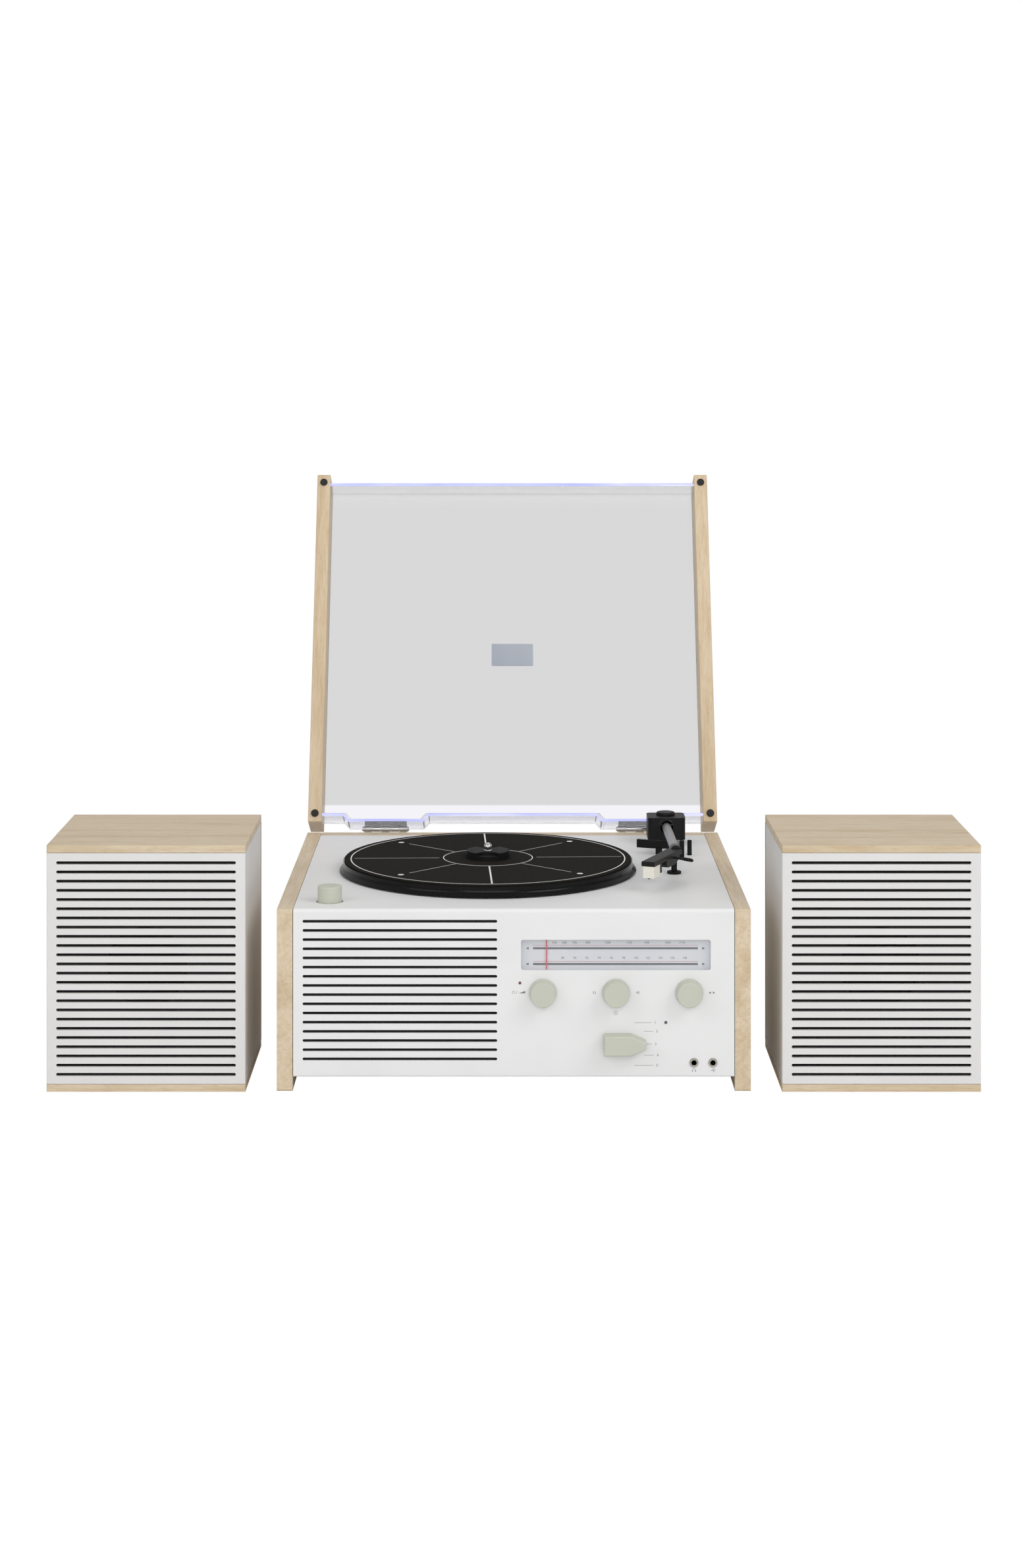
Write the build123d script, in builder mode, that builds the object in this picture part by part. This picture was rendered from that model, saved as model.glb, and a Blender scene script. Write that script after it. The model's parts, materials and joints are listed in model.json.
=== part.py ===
from build123d import *
import os
from math import cos, radians, sin

# Record player with a wooden cabinet, a hinged clear lid and two separate speakers.
# Millimetres. X runs left to right, Y from front to back, Z up from the surface it stands on.
# Depths are given from the cabinet's front face and turned into Y by the function y_at.

os.makedirs("parts", exist_ok=True)

# Cabinet
cabinet_width = 381.0
cabinet_depth = 349.0
cabinet_height = 148.0
side_thickness = 12.7
side_corner_radius = 2.0
foot_height = 1.5
foot_radius = 4.5
foot_inset = 14.0
rear_board_thickness = 15.0
base_board_thickness = 6.0

# Folded white sheet that makes the top and the front
sheet_thickness = 2.0
sheet_side_gap = 0.5
sheet_bottom = 13.2
sheet_bend_radius = 3.0
sheet_flange = 18.0

# Slots in the front, over a black backing board
slot_count = 16
slot_side_margin = 20.7
slot_left = slot_side_margin - cabinet_width / 2
slot_right = -13.3
slot_height = 2.4
slot_top_margin = 9.9
slot_bottom_margin = 14.35
slot_top = cabinet_height - slot_top_margin
slot_bottom = sheet_bottom + slot_bottom_margin
slot_spacing = (slot_top - slot_bottom) / (slot_count - 1)
backing_thickness = 2.0
backing_margin = 4.0

# Dial
dial_left = 5.9
dial_side_margin = 32.2
dial_right = cabinet_width / 2 - dial_side_margin
dial_x = (dial_left + dial_right) / 2
dial_width = dial_right - dial_left
dial_top_margin = 24.7
dial_height = 24.4
dial_top = cabinet_height - dial_top_margin
dial_bottom = dial_top - dial_height
dial_corner = 1.8
dial_glass_thickness = 1.8
dial_glass_clearance = 0.1
dial_depth = 3.2
dial_plate_thickness = 1.5
dial_rim = 3.0
dial_overlap = 1.6
pointer_start = 8.3
pointer_end_margin = 12.2
pointer_width = 1.0
pointer_thickness = 0.6
pointer_left = dial_left + pointer_end_margin
pointer_right = dial_right - pointer_end_margin
pointer_x = pointer_left + pointer_start
pointer_slot_height = 2.2
pointer_clearance = 0.3

# Controls on the front
knob_row_drop = 18.0
knob_row_z = dial_bottom - knob_row_drop
knob_inset = 17.4
volume_x = dial_left + knob_inset
speed_x = dial_x
tune_x = dial_right - knob_inset
knob_base_radius = 11.1
knob_face_radius = 9.9
knob_height = 10.0
knob_edge = 0.8
knob_gap = 0.6
shaft_radius = 3.0
shaft_reach = 12.0
shaft_clearance = 0.06
shaft_hole_radius = 3.9
control_radius = 8.5
control_depth = 12.0
jack_rise = 11.4
jack_z = sheet_bottom + jack_rise
selector_rise = 15.9
selector_z = jack_z + selector_rise
selector_height = 12.0
selector_width = 15.9
selector_back = 10.0
selector_straight = 12.1
selector_nose = 23.8
selector_tip_width = 5.4
selector_edge = 1.2
tuner_size = 22.0
tuner_depth = 18.0
light_length = 7.0
light_proud = 0.4
light_clearance = 0.05
power_light_x = dial_left - 1.0
power_light_z = knob_row_z + 7.7
power_light_radius = 1.1
mode_light_offset = 40.1
mode_light_x = dial_x + mode_light_offset
mode_light_z = selector_z + 16.4
mode_light_radius = 1.2
jack_side_margin = 30.5
jack_spacing = 15.2
aux_jack_x = cabinet_width / 2 - jack_side_margin
phones_jack_x = aux_jack_x - jack_spacing
jack_ring_radius = 3.4
jack_ring_proud = 0.8
jack_barrel_radius = 2.7
jack_bore_radius = 1.8
jack_bore_depth = 15.0
jack_body_width = 11.0
jack_body_height = 9.0
jack_body_depth = 15.0

# Push button on the top
button_side_margin = 40.7
button_x = button_side_margin - cabinet_width / 2
button_depth = 31.0
button_radius = 9.9
button_proud = 13.0
button_hole_radius = 11.0
button_travel = 3.0
button_edge = 1.0
button_clearance = 0.3
button_below = 8.0
switch_wall = 2.5
switch_flange_radius = 17.0

# Platter, its bearing and its belt drive
platter_x = -21.8
platter_back_margin = 182.0
platter_depth = cabinet_depth - platter_back_margin
platter_radius = 124.6
platter_skirt_radius = 128.0
platter_gap = 1.2
platter_rise = 9.3
platter_top = cabinet_height + platter_rise
platter_skin = 3.0
mat_radius = 123.5
mat_thickness = 1.2
hub_radius = 13.0
belt_ring_radius = 70.0
belt_ring_wall = 3.0
belt_clearance = 0.3
belt_thickness = 0.8
belt_height = 3.0
spindle_radius = 3.6
spindle_above_mat = 13.0
spindle_clearance = 0.05
hub_clearance = 0.02
spindle_depth = 34.0
bearing_wall = 4.0
bearing_flange_radius = 16.0
bearing_floor = 3.0
adapter_radius = 19.0
adapter_base_height = 4.0
adapter_height = 6.5
adapter_waist = 15.0
adapter_clearance = 0.1
pulley_radius = 5.3
pulley_ring_gap = 8.1
pulley_angle = 55.85
pulley_distance = belt_ring_radius + pulley_radius + pulley_ring_gap
pulley_x = platter_x + pulley_distance * cos(radians(pulley_angle))
pulley_depth = platter_depth + pulley_distance * sin(radians(pulley_angle))
pulley_hole_radius = 8.0
motor_radius = 17.0
motor_height = 22.0
motor_shaft_radius = 1.5
motor_shaft_clearance = 0.05
motor_shaft_length = 24.0

# Tonearm
arm_side_margin = 51.2
arm_back_margin = 49.0
arm_x = cabinet_width / 2 - arm_side_margin
arm_depth = cabinet_depth - arm_back_margin
arm_rise = 15.7
arm_axis_z = cabinet_height + arm_rise
tube_radius = 4.0
tube_start = 8.0
tube_length = 175.0
tube_end_shift = -1.5
tube_end_rise = 7.9
tube_end_x = arm_x + tube_end_shift
head_z = arm_axis_z + tube_end_rise
collar_radius = 5.0
collar_length = 4.0
collar_clearance = 0.02
housing_width = 34.0
housing_front = 18.0
housing_back = 12.0
housing_rise = 5.0
housing_bottom = cabinet_height + housing_rise
housing_top = arm_axis_z + 9.1
housing_corner = 4.0
housing_cap_radius = 8.5
housing_cap_top = housing_top + 2.9
housing_mouth_radius = 6.8
housing_pivot_radius = 6.0
arm_pin_radius = 1.5
arm_pin_clearance = 0.06
head_angle = 23.4
head_length = 67.5
head_width = 11.4
head_top = 2.6
head_plate = 4.0
head_keel_drop = 8.4
head_keel_width = 8.6
head_keel_length = 34.0
head_clip_length = 5.0
head_clip_drop = 9.6
head_clip_slot = 2.6
head_clip_gap = 0.6
head_back_width = 13.0
head_start = 2.3
head_wall = 1.5
cartridge_width = 9.8
cartridge_length = 16.0
cartridge_set_back = 0.4
cartridge_drop = 11.1
cartridge_bottom = head_z - cartridge_drop
stylus_z = cartridge_bottom - 1.2
stylus_radius = 0.5
stylus_back = 3.0
lift_rod_radius = 1.1
lift_rod_reach = 19.0
lift_rod_back = 19.0
bearing_tube_radius = 10.0
bearing_tube_bore = 5.06
arm_journal_radius = 5.0
journal_length = 18.0
chassis_thickness = 4.0
chassis_hole_clearance = 0.3

# Arm rest
rest_reach = tube_length - 25.0
rest_depth = arm_depth - rest_reach
rest_x = arm_x + tube_end_shift * rest_reach / tube_length
rest_width = 17.0
rest_thickness = 5.0
rest_radius = 4.6
rest_axis_z = arm_axis_z + tube_end_rise * rest_reach / tube_length
rest_outer_top = rest_axis_z + 5.8
rest_inner_top = rest_axis_z - 4.4
rest_base_radius = 6.0
rest_base_height = 2.0

# Cue lever and the curved platform that lifts the tube
cue_radius = 60.0
cue_thickness = 3.0
cue_rise = 5.0
cue_gap = 2.3
cue_bottom = cabinet_height + cue_rise
cue_top = arm_axis_z + tube_end_rise * cue_radius / tube_length - tube_radius - cue_gap
cue_inner_angle = -4.0
cue_outer_angle = 28.0
cue_post_angle = 9.0
cue_post_radius = 3.0
cue_post_drop = 20.0
cue_post_bottom = cabinet_height - cue_post_drop
cue_post_clearance = 0.06
lever_offset = 17.6
lever_reach = 64.0
lever_x = arm_x + lever_offset
lever_depth = arm_depth - lever_reach
lever_radius = 2.0
lever_rise = 13.3
lever_top = cabinet_height + lever_rise
lever_axis_z = cabinet_height - 10.0
lever_pin_radius = 1.5
lever_pin_length = 15.0
lever_slot_back = 12.5

# Lid, described as it lies closed, then turned back about the hinge
lid_open_angle = 113.2
lid_gap = 1.5
hinge_setback = 1.5
hinge_height = 3.0
rail_back_gap = 6.5
rail_length = cabinet_depth + hinge_setback - rail_back_gap
rail_height = 42.0
rail_edge = 0.6
lid_sheet = 3.0
lid_inner_height = 33.0
lid_edge_rise = 2.0
lid_wall_inset = 8.2
lid_bend_radius = 4.0
lid_side_clearance = 0.1
rear_wall_inset = 5.7
pocket_depth = 5.5
pocket_outer_width = 70.0
pocket_inner_width = 80.0
bumper_radius = 3.5
bumper_end = 8.0
bumper_clearance = 0.1
badge_width = 40.0
badge_height = 22.0
badge_thickness = 0.6

# Butt hinges
hinge_side_margin = 72.5
hinge_x = cabinet_width / 2 - hinge_side_margin
barrel_length = 42.0
barrel_radius = 2.6
knuckle_count = 5
knuckle_gap = 0.2
hinge_pin_radius = 1.25
hinge_pin_clearance = 0.05
hinge_pin_head = 1.9
leaf_width = 39.0
leaf_thickness = 1.2
lid_leaf_height = 20.0
cabinet_leaf_height = 24.0
leaf_screw_radius = 1.6

# Inside and back of the cabinet
board_width = 150.0
board_depth = 90.0
board_thickness = 1.6
board_standoff = 6.0
board_margin = 6.0
capacitor_radius = 6.0
capacitor_height = 14.0
capacitor_spacing_x = 26.0
capacitor_spacing_y = 30.0
plate_width = 150.0
plate_height = 46.0
plate_thickness = 1.6
plate_z = 62.0
plate_opening_margin = 8.0
socket_radius = 4.2
socket_length = 9.0
socket_bore_radius = 1.6
socket_spacing = 14.0
inlet_radius = 4.5
inlet_bore_radius = 2.8
inlet_margin = 18.0
bank_offset = 42.0

# Speakers
speaker_gap = 25.6
speaker_width = 160.2
speaker_x = cabinet_width / 2 + speaker_gap + speaker_width / 2
speaker_setback = 4.6
speaker_depth = 146.0
speaker_height = 198.3
speaker_board = 6.0
speaker_seam = 0.3
speaker_wall = 5.0
speaker_front = 3.0
speaker_slot_count = 24
speaker_slot_length = 144.8
speaker_slot_height = 2.6
speaker_slot_top = 184.2
speaker_slot_spacing = 7.406
baffle_thickness = 9.0
baffle_gap = 0.4
driver_radius = 38.0
driver_hole_radius = 33.0
driver_flange = 2.5
driver_depth = 42.0
driver_magnet_radius = 24.0
cone_thickness = 1.0
back_thickness = 6.0
terminal_width = 56.0
terminal_height = 40.0
terminal_proud = 2.0
terminal_z = 70.0
terminal_bore_radius = 2.5
terminal_spacing = 22.0
terminal_length = 8.0
terminal_margin = 4.0

# Places worked out from the sizes above
lid_angle = radians(lid_open_angle)
hinge_at = cabinet_depth + hinge_setback
rail_front = -hinge_at
rail_back = rail_front + rail_length
rail_under = lid_gap - hinge_height
rail_over = rail_under + rail_height
lid_reach = hinge_at + (rail_front + rail_edge) * cos(lid_angle) + rail_over * sin(lid_angle)
front_y = -(lid_reach - selector_height - knob_gap) / 2
sheet_half = cabinet_width / 2 - side_thickness - sheet_side_gap
sheet_inside_z = cabinet_height - sheet_thickness
rear_board_front = cabinet_depth - rear_board_thickness
base_top = sheet_bottom + sheet_thickness + base_board_thickness
mat_top = platter_top + mat_thickness
dial_z = (dial_bottom + dial_top) / 2
dial_floor = sheet_thickness + dial_depth


def y_at(depth):
    return front_y + depth


def front_plane(depth):
    """A plane facing the viewer, whose local axes are the part's X and Z."""
    return Plane.XZ.offset(-y_at(depth))


def level(z):
    return Plane.XY.offset(z)


def upright_plane(x, y):
    """A plane through a vertical axis, with its own x outwards and y up, for turned pieces."""
    return Plane(origin=(x, y, 0), x_dir=(1, 0, 0), z_dir=(0, -1, 0))


def upright_axis(x, y):
    return Axis((x, y, 0), (0, 0, 1))


# Side panels, down to the floor, with small feet under them
for side, sign in (("left", -1), ("right", 1)):
    with BuildPart() as side_panel:
        with BuildSketch(Plane.YZ.offset(sign * (cabinet_width - side_thickness) / 2)):
            with Locations((y_at(cabinet_depth / 2), (cabinet_height + foot_height) / 2)):
                Rectangle(cabinet_depth, cabinet_height - foot_height)
        extrude(amount=side_thickness / 2, both=True)
        fillet(side_panel.edges().filter_by(Axis.X).group_by(Axis.Z)[0], side_corner_radius)
        chamfer(side_panel.edges().filter_by(Axis.Y).group_by(Axis.Z)[-1], 0.4)
    side_panel.part.label = f"{side}_side_panel"
    export_step(side_panel.part, f"parts/{side}_side_panel.step")

foot_x = (cabinet_width - side_thickness) / 2
foot_pitch = cabinet_depth - 2 * foot_inset
with BuildPart() as cabinet_feet:
    with BuildSketch(level(0)):
        with Locations((0, y_at(cabinet_depth / 2))):
            with GridLocations(2 * foot_x, foot_pitch, 2, 2):
                Circle(foot_radius)
    extrude(amount=foot_height)
cabinet_feet.part.label = "cabinet_feet"
export_step(cabinet_feet.part, "parts/cabinet_feet.step")

# The folded sheet: top and front in one, with a short flange turned in under the front
slot_length = slot_right - slot_left
slot_centre_x = (slot_left + slot_right) / 2
slot_centre_z = slot_top - slot_spacing * (slot_count - 1) / 2
jack_pitch = aux_jack_x - phones_jack_x
jack_centre_x = (aux_jack_x + phones_jack_x) / 2
bearing_radius = spindle_radius + bearing_wall
cue_post_x = arm_x - cue_radius * sin(radians(cue_post_angle))
cue_post_depth = arm_depth - cue_radius * cos(radians(cue_post_angle))
lever_slot_front = lever_radius + chassis_hole_clearance
lever_slot_length = lever_slot_front + lever_slot_back
lever_slot_depth = lever_depth + (lever_slot_back - lever_slot_front) / 2
tube_hole_radius = bearing_tube_radius + chassis_hole_clearance

with BuildPart() as top_shell:
    with BuildSketch(Plane.YZ.offset(-sheet_half)) as fold:
        with BuildLine():
            Polyline(
                (y_at(0), sheet_bottom),
                (y_at(0), cabinet_height),
                (y_at(rear_board_front), cabinet_height),
                (y_at(rear_board_front), sheet_inside_z),
                (y_at(sheet_thickness), sheet_inside_z),
                (y_at(sheet_thickness), sheet_bottom + sheet_thickness),
                (y_at(sheet_flange), sheet_bottom + sheet_thickness),
                (y_at(sheet_flange), sheet_bottom),
                close=True,
            )
        make_face()
        fillet(fold.vertices().group_by(Axis.Y)[-1].sort_by(Axis.X)[0], sheet_bend_radius)
        fillet(fold.vertices().group_by(Axis.Y)[0].sort_by(Axis.X)[0], sheet_bend_radius / 2)
    extrude(amount=2 * sheet_half)
    with BuildSketch(front_plane(0)):
        with Locations((slot_centre_x, slot_centre_z)):
            with GridLocations(1, slot_spacing, 1, slot_count):
                SlotOverall(slot_length, slot_height)
        with Locations((dial_x, dial_z)):
            RectangleRounded(dial_width, dial_height, dial_corner)
        with Locations((volume_x, knob_row_z), (speed_x, knob_row_z), (tune_x, knob_row_z)):
            Circle(shaft_hole_radius)
        with Locations((speed_x, selector_z)):
            Circle(shaft_hole_radius)
        with Locations((power_light_x, power_light_z)):
            Circle(power_light_radius + light_clearance)
        with Locations((mode_light_x, mode_light_z)):
            Circle(mode_light_radius + light_clearance)
        with Locations((jack_centre_x, jack_z)):
            with GridLocations(jack_pitch, 1, 2, 1):
                Circle(jack_barrel_radius + light_clearance)
    extrude(amount=-sheet_thickness, mode=Mode.SUBTRACT)
    with BuildSketch(level(cabinet_height)):
        with Locations((button_x, y_at(button_depth))):
            Circle(button_hole_radius)
        with Locations((platter_x, y_at(platter_depth))):
            Circle(bearing_radius + chassis_hole_clearance)
        with Locations((pulley_x, y_at(pulley_depth))):
            Circle(pulley_hole_radius)
        with Locations((arm_x, y_at(arm_depth))):
            Circle(tube_hole_radius)
        with Locations((cue_post_x, y_at(cue_post_depth))):
            Circle(cue_post_radius + chassis_hole_clearance)
        with Locations((lever_x, y_at(lever_slot_depth))):
            SlotOverall(lever_slot_length, 2 * lever_slot_front, rotation=90)
    extrude(amount=-sheet_thickness, mode=Mode.SUBTRACT)
top_shell.part.label = "top_shell"
export_step(top_shell.part, "parts/top_shell.step")

# Rear board with an opening behind the terminal plate
opening_width = plate_width - 2 * plate_opening_margin
opening_height = plate_height - 2 * plate_opening_margin
with BuildPart() as rear_board:
    with BuildSketch(front_plane(rear_board_front)):
        with Locations((0, (cabinet_height + sheet_bottom) / 2)):
            Rectangle(2 * sheet_half, cabinet_height - sheet_bottom)
        with Locations((0, plate_z)):
            Rectangle(opening_width, opening_height, mode=Mode.SUBTRACT)
    extrude(amount=-rear_board_thickness)
rear_board.part.label = "rear_board"
export_step(rear_board.part, "parts/rear_board.step")

with BuildPart() as base_board:
    with BuildSketch(level(sheet_bottom + sheet_thickness)):
        with Locations((0, y_at((sheet_thickness + rear_board_front) / 2))):
            Rectangle(2 * sheet_half, rear_board_front - sheet_thickness)
    extrude(amount=base_board_thickness)
base_board.part.label = "base_board"
export_step(base_board.part, "parts/base_board.step")

backing_width = slot_length + 2 * backing_margin
backing_height = slot_spacing * (slot_count - 1) + slot_height + 2 * backing_margin
with BuildPart() as grille_backing:
    with BuildSketch(front_plane(sheet_thickness)):
        with Locations((slot_centre_x, slot_centre_z)):
            Rectangle(backing_width, backing_height)
    extrude(amount=-backing_thickness)
grille_backing.part.label = "grille_backing"
export_step(grille_backing.part, "parts/grille_backing.step")

# Dial: a clear window in the sheet, a white tray behind it, and the pointer between them
with BuildPart() as dial_window:
    with BuildSketch(front_plane(sheet_thickness - dial_glass_thickness)):
        with Locations((dial_x, dial_z)):
            RectangleRounded(
                dial_width - 2 * dial_glass_clearance,
                dial_height - 2 * dial_glass_clearance,
                dial_corner - dial_glass_clearance,
            )
    extrude(amount=-dial_glass_thickness)
dial_window.part.label = "dial_window"
export_step(dial_window.part, "parts/dial_window.step")

tray_inner_width = dial_width + 2 * dial_overlap
pointer_slot_z = dial_top + pointer_slot_height
tray_inner_bottom = dial_bottom - dial_overlap
tray_inner_top = pointer_slot_z + pointer_slot_height / 2 + dial_overlap
tray_inner_height = tray_inner_top - tray_inner_bottom
tray_z = (tray_inner_top + tray_inner_bottom) / 2
pointer_travel = pointer_right - pointer_left
pointer_slot_length = pointer_travel + 8 * pointer_width
pointer_slot_x = (pointer_left + pointer_right) / 2
with BuildPart() as dial_plate:
    with BuildSketch(front_plane(sheet_thickness)):
        with Locations((dial_x, tray_z)):
            Rectangle(tray_inner_width + 2 * dial_rim, tray_inner_height + 2 * dial_rim)
    extrude(amount=-(dial_depth + dial_plate_thickness))
    with BuildSketch(front_plane(sheet_thickness)):
        with Locations((dial_x, tray_z)):
            Rectangle(tray_inner_width, tray_inner_height)
    extrude(amount=-dial_depth, mode=Mode.SUBTRACT)
    with BuildSketch(front_plane(dial_floor)):
        with Locations((pointer_slot_x, pointer_slot_z)):
            SlotOverall(pointer_slot_length, pointer_slot_height)
    extrude(amount=-dial_plate_thickness, mode=Mode.SUBTRACT)
dial_plate.part.label = "dial_plate"
export_step(dial_plate.part, "parts/dial_plate.step")

# The pointer's tab passes through the slot to a shoe that slides along the tray's back
tab_height = pointer_slot_height - 2 * pointer_clearance
pointer_front = dial_floor - 1.2
pointer_top = pointer_slot_z + tab_height / 2
pointer_bottom = dial_bottom - pointer_width
shoe_front = dial_floor + dial_plate_thickness + pointer_clearance
shoe_thickness = 2.0
shoe_size = 6.0
with BuildPart() as tuning_pointer:
    with BuildSketch(front_plane(pointer_front)):
        with Locations((pointer_x, (pointer_top + pointer_bottom) / 2)):
            Rectangle(pointer_width, pointer_top - pointer_bottom)
    extrude(amount=-pointer_thickness)
    with BuildSketch(front_plane(pointer_front)):
        with Locations((pointer_x, pointer_slot_z)):
            Rectangle(3 * pointer_width, tab_height)
    extrude(amount=-(shoe_front - pointer_front))
    with BuildSketch(front_plane(shoe_front)):
        with Locations((pointer_x, pointer_slot_z)):
            Rectangle(shoe_size, shoe_size)
    extrude(amount=-shoe_thickness)
tuning_pointer.part.label = "tuning_pointer"
export_step(tuning_pointer.part, "parts/tuning_pointer.step")

# Three round knobs, each turned in one piece with its shaft
for name, knob_x in (("volume", volume_x), ("speed", speed_x), ("tune", tune_x)):
    with BuildPart() as knob:
        with BuildSketch(front_plane(-knob_gap)):
            with Locations((knob_x, knob_row_z)):
                Circle(knob_base_radius)
        with BuildSketch(front_plane(-knob_gap - knob_height)):
            with Locations((knob_x, knob_row_z)):
                Circle(knob_face_radius)
        loft()
        fillet(knob.edges().group_by(Axis.Y)[0], knob_edge)
        with BuildSketch(front_plane(-knob_gap)):
            with Locations((knob_x, knob_row_z)):
                Circle(shaft_radius)
        extrude(amount=-(shaft_reach + knob_gap))
    knob.part.label = f"{name}_knob"
    export_step(knob.part, f"parts/{name}_knob.step")

# Selector: a pointer-shaped knob on the same kind of shaft
with BuildPart() as selector_knob:
    with BuildSketch(front_plane(-knob_gap)):
        with BuildLine():
            Polyline(
                (speed_x - selector_back, selector_z - selector_width / 2),
                (speed_x + selector_straight, selector_z - selector_width / 2),
                (speed_x + selector_nose, selector_z - selector_tip_width / 2),
                (speed_x + selector_nose, selector_z + selector_tip_width / 2),
                (speed_x + selector_straight, selector_z + selector_width / 2),
                (speed_x - selector_back, selector_z + selector_width / 2),
                close=True,
            )
        make_face()
    extrude(amount=selector_height)
    fillet(selector_knob.edges().group_by(Axis.Y)[0], selector_edge)
    with BuildSketch(front_plane(-knob_gap)):
        with Locations((speed_x, selector_z)):
            Circle(shaft_radius)
    extrude(amount=-(shaft_reach + knob_gap))
selector_knob.part.label = "selector_knob"
export_step(selector_knob.part, "parts/selector_knob.step")

# Rotary controls behind the sheet: two for the round knobs and one for the selector
with BuildPart() as rotary_controls:
    with BuildSketch(front_plane(sheet_thickness)):
        with Locations((volume_x, knob_row_z), (speed_x, knob_row_z), (speed_x, selector_z)):
            Circle(control_radius)
            Circle(shaft_radius + shaft_clearance, mode=Mode.SUBTRACT)
    extrude(amount=-control_depth)
rotary_controls.part.label = "rotary_controls"
export_step(rotary_controls.part, "parts/rotary_controls.step")

with BuildPart() as tuning_capacitor:
    with BuildSketch(front_plane(sheet_thickness)):
        with Locations((tune_x, knob_row_z - (tuner_size / 2 - control_radius))):
            Rectangle(tuner_size, tuner_size)
        with Locations((tune_x, knob_row_z)):
            Circle(shaft_radius + shaft_clearance, mode=Mode.SUBTRACT)
    extrude(amount=-tuner_depth)
tuning_capacitor.part.label = "tuning_capacitor"
export_step(tuning_capacitor.part, "parts/tuning_capacitor.step")

for name, light_x, light_z, light_radius in (
    ("power_light", power_light_x, power_light_z, power_light_radius),
    ("mode_light", mode_light_x, mode_light_z, mode_light_radius),
):
    with BuildPart() as light:
        with BuildSketch(front_plane(-light_proud)):
            with Locations((light_x, light_z)):
                Circle(light_radius)
        extrude(amount=-light_length)
        fillet(light.edges().group_by(Axis.Y)[0], light_proud * 0.9)
    light.part.label = name
    export_step(light.part, f"parts/{name}.step")

# Two small jacks: a ring outside, a barrel through the sheet and a body behind it
with BuildPart() as front_jacks:
    with BuildSketch(front_plane(0)):
        with Locations((jack_centre_x, jack_z)):
            with GridLocations(jack_pitch, 1, 2, 1):
                Circle(jack_ring_radius)
    extrude(amount=jack_ring_proud)
    with BuildSketch(front_plane(0)):
        with Locations((jack_centre_x, jack_z)):
            with GridLocations(jack_pitch, 1, 2, 1):
                Circle(jack_barrel_radius)
    extrude(amount=-sheet_thickness)
    with BuildSketch(front_plane(sheet_thickness)):
        with Locations((jack_centre_x, jack_z + jack_body_height / 2 - jack_barrel_radius)):
            with GridLocations(jack_pitch, 1, 2, 1):
                Rectangle(jack_body_width, jack_body_height)
    extrude(amount=-jack_body_depth)
    with BuildSketch(front_plane(-jack_ring_proud)):
        with Locations((jack_centre_x, jack_z)):
            with GridLocations(jack_pitch, 1, 2, 1):
                Circle(jack_bore_radius)
    extrude(amount=-jack_bore_depth, mode=Mode.SUBTRACT)
front_jacks.part.label = "front_jacks"
export_step(front_jacks.part, "parts/front_jacks.step")

# Push button in its guide sleeve, which hangs from the underside of the sheet
button_y = y_at(button_depth)
button_bottom = sheet_inside_z - button_below
switch_floor_top = button_bottom - button_travel - button_clearance
switch_inner = button_radius + button_clearance
with BuildPart() as start_button:
    with BuildSketch(level(button_bottom)):
        with Locations((button_x, button_y)):
            Circle(button_radius)
    extrude(amount=cabinet_height + button_proud - button_bottom)
    fillet(start_button.edges().group_by(Axis.Z)[-1], button_edge)
start_button.part.label = "start_button"
export_step(start_button.part, "parts/start_button.step")

with BuildPart() as start_switch:
    with BuildSketch(level(sheet_inside_z)):
        with Locations((button_x, button_y)):
            Circle(switch_flange_radius)
    extrude(amount=-sheet_thickness)
    with BuildSketch(level(sheet_inside_z)):
        with Locations((button_x, button_y)):
            Circle(switch_inner + switch_wall)
    extrude(amount=-(sheet_inside_z - switch_floor_top + switch_wall))
    with BuildSketch(level(sheet_inside_z)):
        with Locations((button_x, button_y)):
            Circle(switch_inner)
    extrude(amount=-(sheet_inside_z - switch_floor_top), mode=Mode.SUBTRACT)
start_switch.part.label = "start_switch"
export_step(start_switch.part, "parts/start_switch.step")

# Platter: a moulded disc with a flared skirt, a hub and a ring for the belt underneath
platter_y = y_at(platter_depth)
skirt_bottom = cabinet_height + platter_gap
skin_bottom = platter_top - platter_skin
belt_ring_bottom = skin_bottom - belt_height - 1.0
hub_bore = spindle_radius + hub_clearance
with BuildPart() as platter:
    with BuildSketch(upright_plane(platter_x, platter_y)):
        with BuildLine():
            Polyline(
                (hub_bore, skirt_bottom),
                (hub_radius, skirt_bottom),
                (hub_radius, skin_bottom),
                (belt_ring_radius - belt_ring_wall, skin_bottom),
                (belt_ring_radius - belt_ring_wall, belt_ring_bottom),
                (belt_ring_radius, belt_ring_bottom),
                (belt_ring_radius, skin_bottom),
                (platter_radius - platter_skin, skin_bottom),
                (platter_skirt_radius - platter_skin, skirt_bottom),
                (platter_skirt_radius, skirt_bottom),
            )
            Spline(
                (platter_skirt_radius, skirt_bottom),
                (platter_radius + 0.6, skirt_bottom + 3.0),
                (platter_radius, platter_top - 3.0),
                tangents=((-0.6, 1), (0, 1)),
            )
            Polyline(
                (platter_radius, platter_top - 3.0),
                (platter_radius, platter_top),
                (hub_bore, platter_top),
                (hub_bore, skirt_bottom),
            )
        make_face()
    revolve(axis=upright_axis(platter_x, platter_y))
platter.part.label = "platter"
export_step(platter.part, "parts/platter.step")

with BuildPart() as felt_mat:
    with BuildSketch(level(platter_top)):
        with Locations((platter_x, platter_y)):
            Circle(mat_radius)
            Circle(spindle_radius + adapter_clearance, mode=Mode.SUBTRACT)
    extrude(amount=mat_thickness)
felt_mat.part.label = "felt_mat"
export_step(felt_mat.part, "parts/felt_mat.step")

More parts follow.
